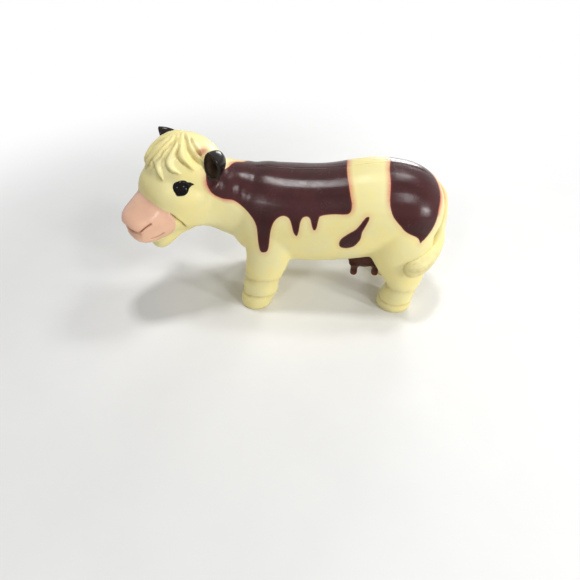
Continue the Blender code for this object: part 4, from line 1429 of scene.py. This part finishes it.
@dataclass
class Tail:
    """The tail in relief, with its tuft."""

    figure: Figure
    patches: Patches
    voxel: float = 0.28
    sprayed_side: tuple[Place, ...] = (
        (74.2, -1.6, 48.4), (76.6, -2.2, 46.4), (77.8, -2.6, 43.0), (77.9, -2.9, 38.5), (77.2, -3.4, 34.0))
    main_crease: tuple[Place, ...] = (
        (75.4, -13.2, 30.6), (71.8, -17.6, 29.6), (69.6, -19.0, 27.4), (68.0, -19.4, 25.9),
        (66.3, -19.4, 24.6))
    lower_crease: tuple[Place, ...] = (
        (66.2, -20.4, 23.2), (67.7, -20.8, 23.6), (69.7, -20.9, 23.9), (71.9, -20.4, 24.0),
        (74.0, -18.6, 24.6))
    crease_radius: float = 0.42
    crease_shade: float = 0.9
    waviness: Pair = (4.0, 0.12)
    painted_from: float = 40.0
    tuft: Pair = (31.0, 25.0)

    def build(self, material: bpy.types.Material) -> None:
        """Builds the tail over the rump.

        Args:
            material: the painted vinyl.
        """
        skin = blended(self.figure.tail(), self.voxel, 12)
        points = skin.points
        clay = Clay(skin)
        # The creases get painted shade in them.
        for line, depth in ((self.main_crease, 0.26), (self.lower_crease, 0.22)):
            clay.groove(np.array(eased(line, 6)), self.crease_radius, depth, self.crease_shade)
        clay.unevenness(*self.waviness)
        # Darker towards the bottom of the tail, over the tuft.
        clay.darken(0.55 * gone(points[:, 2], *self.tuft))
        beside, _ = line_distance(points, np.array(self.sprayed_side))
        marks = self.patches.marks(points, blush=0.85 * bell(beside, 1.3), hollow=clay.hollow)
        low = points[:, 2] <= self.painted_from
        marks["patch_depth"][low] = -self.patches.reach
        place_piece("tail_and_tuft", opened(clay.shaped(), marks), ("tail",), material)


class Curve(Enum):
    """How a value gets from one range to another."""

    SMOOTH = "SMOOTHSTEP"
    STRAIGHT = "LINEAR"


class Socket(Enum):
    """Kinds of group sockets."""

    VALUE = "NodeSocketFloat"
    COLOUR = "NodeSocketColor"
    VECTOR = "NodeSocketVector"


class Wiring:
    """Adds nodes to one node tree and joins them."""

    def __init__(self, tree: bpy.types.NodeTree) -> None:
        """Starts on an empty tree."""
        self.tree = tree

    def add(self, kind: str, inputs: dict[str, object] | None = None, **settings: object) -> bpy.types.Node:
        """Adds a node, with values or sockets for its inputs.

        Args:
            kind: the node's type name.
            inputs: a value, or the socket that feeds it, for each input by name or number.
            settings: the node's own properties.

        Returns:
            The node.
        """
        node = self.tree.nodes.new(kind)
        for name, value in settings.items():
            setattr(node, name, value)
        for name, value in (inputs or {}).items():
            self.feed(node.inputs[name], value)
        return node

    def feed(self, socket: bpy.types.NodeSocket, value: object) -> None:
        """Sets a socket, or joins it to the socket that feeds it.

        Args:
            socket: the socket.
            value: a value or another socket.
        """
        if isinstance(value, bpy.types.NodeSocket):
            self.tree.links.new(value, socket)
        else:
            socket.default_value = value

    def maths(self, operation: str, first: object, second: object = 0.0) -> bpy.types.NodeSocket:
        """The result of a sum."""
        return self.add("ShaderNodeMath", {0: first, 1: second}, operation=operation).outputs[0]

    def plus(self, first: object, second: object) -> bpy.types.NodeSocket:
        """Two values added."""
        return self.maths("ADD", first, second)

    def times(self, first: object, second: object) -> bpy.types.NodeSocket:
        """Two values multiplied."""
        return self.maths("MULTIPLY", first, second)

    def larger(self, first: object, second: object) -> bpy.types.NodeSocket:
        """The larger of two values."""
        return self.maths("MAXIMUM", first, second)

    def limited(self, value: object) -> bpy.types.NodeSocket:
        """A value kept between 0 and 1."""
        return self.add("ShaderNodeClamp", {"Value": value}).outputs[0]

    def blend(self, factor: object, first: object, second: object) -> bpy.types.NodeSocket:
        """Two colours mixed by a factor."""
        return self.add("ShaderNodeMix", {0: factor, 6: first, 7: second}, data_type="RGBA").outputs[2]

    def between(self, factor: object, first: object, second: object) -> bpy.types.NodeSocket:
        """Two numbers mixed by a factor."""
        return self.add("ShaderNodeMix", {0: factor, 2: first, 3: second}, data_type="FLOAT").outputs[0]

    def ramp(self, value: object, low: float, high: float, start: float = 0.0, end: float = 1.0,
             curve: Curve = Curve.SMOOTH) -> bpy.types.NodeSocket:
        """Carries a value from one range to another.

        Args:
            value: the value.
            low: where its own range starts.
            high: where its own range ends.
            start: what it becomes at low.
            end: what it becomes at high.
            curve: how it gets there.

        Returns:
            The new value.
        """
        return self.add("ShaderNodeMapRange", {"Value": value, "From Min": low, "From Max": high,
                                               "To Min": start, "To Max": end},
                        interpolation_type=curve.value).outputs["Result"]

    def grain(self, place: object, scale: float, detail: float = 2.0, roughness: float = 0.5
              ) -> bpy.types.NodeSocket:
        """Noise from 0 to 1 over a place."""
        return self.add("ShaderNodeTexNoise", {"Vector": place, "Scale": scale, "Detail": detail,
                                               "Roughness": roughness}).outputs["Fac"]


def colour(red: float, green: float, blue: float) -> Colour:
    """A solid colour for a socket."""
    return (red, green, blue, 1.0)


WHITE = colour(1.0, 1.0, 1.0)


class Group(Wiring):
    """A shader node group with named inputs and outputs, of which the first input is a place."""

    def __init__(self, name: str, *outputs: str, **inputs: float | Colour) -> None:
        """Starts the group.

        Args:
            name: the group's name.
            outputs: the names of its outputs, of which "Colour" is a colour.
            inputs: the starting value of each further input.
        """
        super().__init__(bpy.data.node_groups.new(name, "ShaderNodeTree"))
        sockets = self.tree.interface
        sockets.new_socket("Place", in_out="INPUT", socket_type=Socket.VECTOR.value)
        for title, value in inputs.items():
            kind = Socket.COLOUR if isinstance(value, tuple) else Socket.VALUE
            socket = sockets.new_socket(title.replace("_", " "), in_out="INPUT", socket_type=kind.value)
            socket.default_value = value
        for title in outputs:
            kind = Socket.COLOUR if title == "Colour" else Socket.VALUE
            sockets.new_socket(title, in_out="OUTPUT", socket_type=kind.value)
        self.given = self.add("NodeGroupInput").outputs
        self.put = self.add("NodeGroupOutput").inputs

    def noise(self, scale: float, detail: float = 2.0, roughness: float = 0.5) -> bpy.types.NodeSocket:
        """Noise from 0 to 1 over the group's place."""
        return self.grain(self.given["Place"], scale, detail, roughness)


class Effects:
    """The node groups that the materials share."""

    def __init__(self) -> None:
        """Builds every group once."""
        self.tone = self._tone()
        self.edge = self._edge()
        self.halo = self._halo()
        self.peel = self._peel()
        self.shade_and_wear = self._shade_and_wear()
        self.parting = self._parting()

    @staticmethod
    def _tone() -> bpy.types.NodeTree:
        """Slow and fine drift between two colours, as in moulded vinyl.

        Returns:
            The group.
        """
        group = Group("moulded_tone", "Colour", Colour=colour(0.8, 0.8, 0.8),
                      Second_Colour=colour(0.7, 0.7, 0.7))
        slow = group.ramp(group.noise(75.0, 3.0, 0.6), 0.34, 0.66)
        fine = group.ramp(group.noise(900.0, 3.0, 0.65), 0.25, 0.75, -0.16, 0.16)
        group.feed(group.put["Colour"], group.blend(group.limited(group.plus(slow, fine)),
                                                    group.given["Colour"], group.given["Second Colour"]))
        return group.tree

    @staticmethod
    def _edge() -> bpy.types.NodeTree:
        """A painted area from the distance to its edge, with a slightly ragged border.

        Returns:
            The group.
        """
        group = Group("paint_edge", "Mask", Depth=0.0, Softness=0.1, Raggedness=0.1)
        ragged = group.ramp(group.noise(1500.0, 3.0, 0.6), 0.2, 0.8, -1.0, 1.0, Curve.STRAIGHT)
        depth = group.plus(group.given["Depth"], group.times(ragged, group.given["Raggedness"]))
        share = group.plus(group.maths("DIVIDE", depth, group.given["Softness"]), 0.5)
        group.feed(group.put["Mask"], group.ramp(share, 0.0, 1.0))
        return group.tree

    @staticmethod
    def _halo() -> bpy.types.NodeTree:
        """Fine overspray that thins out beyond a painted edge.

        Returns:
            The group.
        """
        group = Group("overspray", "Mask", Depth=0.0, Reach=1.0, Strength=1.0)
        falling = group.maths("DIVIDE", group.given["Depth"], group.given["Reach"])
        falling = group.maths("POWER", group.limited(group.plus(falling, 1.0)), 1.25)
        mist = group.ramp(group.noise(2600.0, 4.0, 0.7), 0.30, 0.62, 0.65, 1.0)
        drift = group.ramp(group.noise(260.0, 1.0), 0.3, 0.7, 0.75, 1.0)
        mask = group.times(group.times(falling, mist), drift)
        group.feed(group.put["Mask"], group.times(mask, group.given["Strength"]))
        return group.tree

    @staticmethod
    def _peel() -> bpy.types.NodeTree:
        """The fine unevenness of a moulded or sprayed surface.

        Returns:
            The group.
        """
        group = Group("moulded_grain", "Height", Peel=1.0, Grit=1.0)
        peel = group.times(group.noise(700.0), group.given["Peel"])
        grit = group.times(group.noise(3800.0), group.given["Grit"])
        group.feed(group.put["Height"], group.plus(peel, grit))
        return group.tree

    @staticmethod
    def _shade_and_wear() -> bpy.types.NodeTree:
        """Painted shade in the creases, darkening towards the floor, rare specks of dirt and duller spots.

        Returns:
            The group.
        """
        group = Group("shade_and_handling", "Dirt", "Dull", Hollow=0.0)
        cloud = group.ramp(group.noise(330.0, 4.0, 0.7), 0.35, 0.75, 0.35, 1.0)
        # Painted shade in the creases, broken up by a cloud.
        creases = group.times(group.given["Hollow"], cloud)
        specks = group.ramp(group.noise(620.0, 2.0, 0.8), 0.735, 0.79)
        low = group.add("ShaderNodeSeparateXYZ", {"Vector": group.given["Place"]}).outputs["Z"]
        # Darker towards the floor, over the lowest 1.6 mm.
        ground = group.times(group.ramp(low, 0.0016, 0.0, 0.0, 0.7), cloud)
        dirt = group.larger(group.larger(creases, group.times(specks, 0.55)), ground)
        group.feed(group.put["Dirt"], group.limited(dirt))
        group.feed(group.put["Dull"], group.ramp(group.noise(190.0, 5.0, 0.7), 0.42, 0.68))
        return group.tree

    @staticmethod
    def _parting() -> bpy.types.NodeTree:
        """The fine line where the mould's halves met, from the distance across it.

        Returns:
            The group.
        """
        group = Group("parting_line", "Mask", Across=5.0)
        wander = group.ramp(group.noise(140.0), 0.0, 1.0, -0.05, 0.05, Curve.STRAIGHT)
        across = group.maths("ABSOLUTE", group.plus(group.given["Across"], wander))
        group.feed(group.put["Mask"], group.ramp(across, 0.05, 0.17, 1.0, 0.0))
        return group.tree


class Finish(Wiring):
    """A material under construction: a Principled shader, and the object's own coordinates."""

    def __init__(self, name: str, effects: Effects) -> None:
        """Makes the material with a plain shader.

        Args:
            name: the material's name.
            effects: the shared node groups.
        """
        self.material = bpy.data.materials.new(name)
        self.material.use_nodes = True
        super().__init__(self.material.node_tree)
        self.tree.nodes.clear()
        self.effects = effects
        shader = self.add("ShaderNodeBsdfPrincipled")
        self.shader = shader.inputs
        self.add("ShaderNodeOutputMaterial", {"Surface": shader.outputs[0]})
        self.place = self.add("ShaderNodeTexCoord").outputs["Object"]

    def group(self, tree: bpy.types.NodeTree, **inputs: object) -> bpy.types.NodeOutputs:
        """Places a shared group on the object's coordinates.

        Args:
            tree: the group.
            inputs: its other inputs by name, with _ for a space.

        Returns:
            The group's outputs.
        """
        node = self.add("ShaderNodeGroup", node_tree=tree)
        self.feed(node.inputs["Place"], self.place)
        for name, value in inputs.items():
            self.feed(node.inputs[name.replace("_", " ")], value)
        return node.outputs

    def tone(self, first: Colour, second: Colour) -> bpy.types.NodeSocket:
        """A colour that drifts between two."""
        return self.group(self.effects.tone, Colour=first, Second_Colour=second)["Colour"]

    def paint(self, mark: str, softness: float, raggedness: float) -> bpy.types.NodeSocket:
        """The mask of an area whose depth is kept on the mesh's points."""
        return self.group(self.effects.edge, Depth=self.mark(mark), Softness=softness,
                          Raggedness=raggedness)["Mask"]

    def mark(self, name: str) -> bpy.types.NodeSocket:
        """A value kept on the mesh's points."""
        return self.add("ShaderNodeAttribute", attribute_name=name).outputs["Fac"]

    def bump(self, height: object, distance: float, strength: float, **below: object
             ) -> bpy.types.NodeSocket:
        """A normal from a height, which may add to another Normal."""
        return self.add("ShaderNodeBump", {"Height": height, "Distance": distance, "Strength": strength,
                                           **below}).outputs["Normal"]

    def grained(self, peel: object, grit: object, distance: float, strength: float,
                **below: object) -> None:
        """Gives the shader the fine unevenness of its surface."""
        grain = self.group(self.effects.peel, Peel=peel, Grit=grit)["Height"]
        self.feed(self.shader["Normal"], self.bump(grain, distance, strength, **below))


@dataclass(frozen=True)
class PaintedVinyl:
    """Cream vinyl with sprayed maroon patches, a pink muzzle and black eye rims."""

    cream: Colour = colour(0.85, 0.74, 0.32)
    cream_second: Colour = colour(0.80, 0.73, 0.38)
    maroon: Colour = colour(0.034, 0.005, 0.005)
    maroon_second: Colour = colour(0.052, 0.010, 0.011)
    thin_maroon: Colour = colour(0.160, 0.018, 0.018)
    spray: Colour = colour(0.60, 0.12, 0.10)
    pink: Colour = colour(0.86, 0.53, 0.36)
    pink_second: Colour = colour(0.80, 0.47, 0.34)
    # Pink darkened by painted shade in the muzzle's grooves and by dirt.
    pink_shade_and_dirt: Colour = colour(0.22, 0.075, 0.055)
    black: Colour = colour(0.008, 0.006, 0.006)
    # The darkness colour: painted shade in creases, dirt specks, darkening by the floor and the parting
    # line.
    dirt: Colour = colour(0.36, 0.24, 0.07)
    cream_rough: Pair = (0.34, 0.44)
    patch_rough: Pair = (0.21, 0.29)
    nose_rough: float = 0.24
    eye_rough: float = 0.45
    shine: float = 0.25
    film: float = 0.00003

    def dress(self, effects: Effects) -> bpy.types.Material:
        """Builds the material.

        Args:
            effects: the shared node groups.

        Returns:
            The material.
        """
        m = Finish("painted_vinyl", effects)
        depth = m.mark("patch_depth")
        shade_and_wear = m.group(effects.shade_and_wear, Hollow=m.mark("hollow"))
        patch = m.paint("patch_depth", 0.22, 0.05)
        nose = m.paint("nose_depth", 0.9, 0.25)
        eye = m.paint("eye_depth", 0.18, 0.07)
        halo = m.group(effects.halo, Depth=depth, Reach=2.1, Strength=m.mark("overspray"))["Mask"]
        seam = m.group(effects.parting, Across=m.mark("across"))["Mask"]

        # The cream darkens towards the darkness colour by painted shade in creases, dirt specks, darkening
        # by the floor and the mould's parting line.
        bare = m.blend(m.times(m.larger(shade_and_wear["Dirt"], m.times(seam, 0.5)), 0.66),
                       m.tone(self.cream, self.cream_second), self.dirt)
        bare = m.blend(m.larger(halo, m.mark("blush")), bare, self.spray)
        # The pink darkens by the same marks, mostly painted shade in the mouth and nostril grooves and
        # under the nose pad.
        pink = m.blend(m.times(shade_and_wear["Dirt"], 0.75), m.tone(self.pink, self.pink_second), self.pink_shade_and_dirt)
        maroon = m.blend(m.ramp(depth, 0.0, 0.8, 0.6, 0.0), m.tone(self.maroon, self.maroon_second),
                         self.thin_maroon)
        coat = m.blend(patch, m.blend(nose, bare, pink), maroon)
        m.feed(m.shader["Base Color"], m.blend(eye, coat, self.black))

        rough = m.between(nose, m.between(shade_and_wear["Dull"], *self.cream_rough), self.nose_rough)
        rough = m.between(patch, rough, m.between(shade_and_wear["Dull"], *self.patch_rough))
        m.feed(m.shader["Roughness"], m.between(eye, rough, self.eye_rough))
        m.feed(m.shader["Specular IOR Level"], self.shine)
        film = m.maths("SUBTRACT", m.larger(patch, eye), m.times(seam, 4.0))
        m.grained(m.between(patch, 0.9, 0.55), m.between(patch, 0.25, 0.85), 0.00006, 0.50,
                  Normal=m.bump(film, self.film, 0.8))
        return m.material


@dataclass(frozen=True)
class BlackGloss:
    """Glossy black for ears and eyes; a cup's inside is duller and brown, painted lightest just inside the
    rim and darker deeper in as painted light and shade.
    """

    name: str
    black: Colour = colour(0.008, 0.006, 0.005)
    second: Colour = colour(0.016, 0.010, 0.007)
    # Brown of the cup's duller inside, at its painted lightest.
    inside: Colour = colour(0.230, 0.150, 0.095)
    rough: float = 0.13
    peel: float = 0.35
    shine: float = 0.18

    def dress(self, effects: Effects) -> bpy.types.Material:
        """Builds the material.

        Args:
            effects: the shared node groups.

        Returns:
            The material.
        """
        m = Finish(self.name, effects)
        cup = m.mark("cup")
        shade_and_wear = m.group(effects.shade_and_wear)
        cloud = m.ramp(m.grain(m.place, 420.0, 4.0, 0.7), 0.3, 0.7, 0.45, 1.0)
        inside = m.blend(cloud, self.second, self.inside)
        # The cup's inside: a duller brown, painted lightest near the rim as painted light and going black
        # deeper in as painted shade.
        m.feed(m.shader["Base Color"],
               m.blend(m.maths("POWER", cup, 1.6), m.tone(self.black, self.second), inside))
        gloss = m.between(shade_and_wear["Dull"], self.rough, self.rough + 0.07)
        m.feed(m.shader["Roughness"], m.between(cup, gloss, 0.42))
        m.feed(m.shader["Specular IOR Level"], self.shine)
        m.grained(1.0, 0.2, 0.00005, self.peel)
        return m.material


@dataclass(frozen=True)
class BrownVinyl:
    """The udder's dark red vinyl, redder at the teats."""

    brown: Colour = colour(0.068, 0.016, 0.008)
    second: Colour = colour(0.048, 0.011, 0.006)
    teats: Colour = colour(0.135, 0.027, 0.016)
    rough: Pair = (0.36, 0.46)
    shine: float = 0.25

    def dress(self, effects: Effects) -> bpy.types.Material:
        """Builds the material.

        Args:
            effects: the shared node groups.

        Returns:
            The material.
        """
        m = Finish("brown_vinyl", effects)
        shade_and_wear = m.group(effects.shade_and_wear)
        m.feed(m.shader["Base Color"], m.blend(m.mark("teat"), m.tone(self.brown, self.second), self.teats))
        m.feed(m.shader["Roughness"], m.between(shade_and_wear["Dull"], *self.rough))
        m.feed(m.shader["Specular IOR Level"], self.shine)
        m.grained(1.0, 0.5, 0.00008, 0.6)
        return m.material


@dataclass(frozen=True)
class Lamp:
    """A soft square lamp that shines at a place on the cow."""

    name: str
    place: Place
    target: Place
    size: float
    power: float

    def hang(self) -> None:
        """Puts the lamp in the scene."""
        data = bpy.data.lights.new(self.name, "AREA")
        data.size = self.size * MM
        data.energy = self.power
        thing = put_in_scene(self.name, data)
        thing.location = Vector(self.place) * MM
        aim = (Vector(self.target) - Vector(self.place)) * MM
        thing.rotation_euler = aim.to_track_quat("-Z", "Y").to_euler()


@dataclass
class Studio:
    """The floor, the lamps, the white surroundings and the camera."""

    floor_half_size: float = 2500.0
    floor_colour: Colour = colour(0.80, 0.80, 0.79)
    second_colour: Colour = colour(0.78, 0.78, 0.775)
    fade: Pair = (0.09, 0.26)
    ambient: float = 0.20
    camera_place: Place = (7.787, -140.89, 120.67)
    azimuth: float = math.radians(3.0)
    pitch: float = math.radians(41.0)
    lens: float = 27.19
    lamps: tuple[Lamp, ...] = (
        Lamp("overhead", (-4.0, 10.0, 430.0), (0.0, 0.0, 45.0), 54.0, 0.58),
        Lamp("back_right", (213.0, 120.0, 425.0), (20.0, 0.0, 45.0), 70.0, 0.50),
        Lamp("back_low", (159.0, 383.0, 147.0), (20.0, 0.0, 45.0), 130.0, 0.60),
        Lamp("front_right", (236.0, -222.0, 315.0), (20.0, 0.0, 45.0), 54.0, 0.36),
        Lamp("low_right", (340.0, -170.0, 110.0), (40.0, 0.0, 45.0), 36.0, 0.56),
        Lamp("front_left", (-142.0, -316.0, 269.0), (-40.0, 0.0, 45.0), 38.0, 0.24))

    def build(self) -> None:
        """Builds the studio."""
        self._floor()
        self._world()
        for lamp in self.lamps:
            lamp.hang()
        self._camera()
        bpy.context.scene.view_settings.view_transform = "Standard"

    def _floor(self) -> None:
        """Builds a plain pale floor, which the camera sees fade to white away from the cow."""
        half = self.floor_half_size * MM
        mesh = bpy.data.meshes.new("floor")
        mesh.from_pydata([(-half, -half, 0), (half, -half, 0), (half, half, 0), (-half, half, 0)], [],
                         [(0, 1, 2, 3)])
        floor = put_in_scene("floor", mesh)
        material = bpy.data.materials.new("floor")
        material.use_nodes = True
        w = Wiring(material.node_tree)
        shader = material.node_tree.nodes["Principled BSDF"]
        place = w.add("ShaderNodeTexCoord").outputs["Object"]
        cloud = w.ramp(w.grain(place, 30.0, 4.0, 0.6), 0.3, 0.7)
        w.feed(shader.inputs["Base Color"], w.blend(cloud, self.floor_colour, self.second_colour))
        shader.inputs["Roughness"].default_value = 0.75
        away = w.add("ShaderNodeVectorMath", {0: place}, operation="LENGTH").outputs["Value"]
        seen = w.add("ShaderNodeLightPath").outputs["Is Camera Ray"]
        glow = w.add("ShaderNodeEmission", {"Color": WHITE, "Strength": 1.0})
        mixed = w.add("ShaderNodeMixShader", {0: w.times(seen, w.ramp(away, *self.fade)),
                                              1: shader.outputs[0], 2: glow.outputs[0]})
        w.feed(material.node_tree.nodes["Material Output"].inputs["Surface"], mixed.outputs[0])
        mesh.materials.append(material)

    def _world(self) -> None:
        """Makes the surroundings white to look at and in reflections, and a plain soft light."""
        world = bpy.data.worlds.new("studio")
        bpy.context.scene.world = world
        world.use_nodes = True
        w = Wiring(world.node_tree)
        background = world.node_tree.nodes["Background"]
        background.inputs["Color"].default_value = WHITE
        path = w.add("ShaderNodeLightPath").outputs
        seen = w.larger(w.larger(path["Is Camera Ray"], path["Is Transmission Ray"]), path["Is Glossy Ray"])
        w.feed(background.inputs["Strength"], w.between(seen, self.ambient, 1.0))

    def _camera(self) -> None:
        """Places a camera at the photograph's viewing angle."""
        data = bpy.data.cameras.new("camera")
        data.lens = self.lens
        data.sensor_width = 36.0
        data.clip_start = 0.001
        data.clip_end = 100.0
        camera = put_in_scene("camera", data)
        camera.location = Vector(self.camera_place) * MM
        camera.rotation_euler = (math.pi / 2 - self.pitch, 0.0, self.azimuth)
        bpy.context.scene.camera = camera


def main() -> None:
    """Builds and dresses the cow, then the studio round it."""
    logging.basicConfig(level=logging.INFO, format="%(message)s")
    figure = Figure()
    patches = Patches()
    effects = Effects()
    painted = PaintedVinyl().dress(effects)
    gloss = BlackGloss("black_gloss").dress(effects)
    eye_gloss = BlackGloss("eye_gloss", colour(0.004, 0.003, 0.003), colour(0.007, 0.005, 0.004),
                           rough=0.10, peel=0.10, shine=0.10).dress(effects)

    head = HeadSkin(figure, patches).build(painted)
    skin = head.tree()
    Ear(figure, Side.LEFT, (-0.100, 0.389, 0.366), height=9.1).build(skin, gloss)
    Ear(figure, Side.RIGHT, (0.000, -0.389, 0.295)).build(skin, gloss)
    for side in Side:
        Eye(figure, side).build(skin, eye_gloss)
    BodySkin(figure, patches).build(painted)
    Tail(figure, patches).build(painted)
    Udder().build(BrownVinyl().dress(effects))
    Studio().build()


if __name__ == "__main__":
    main()
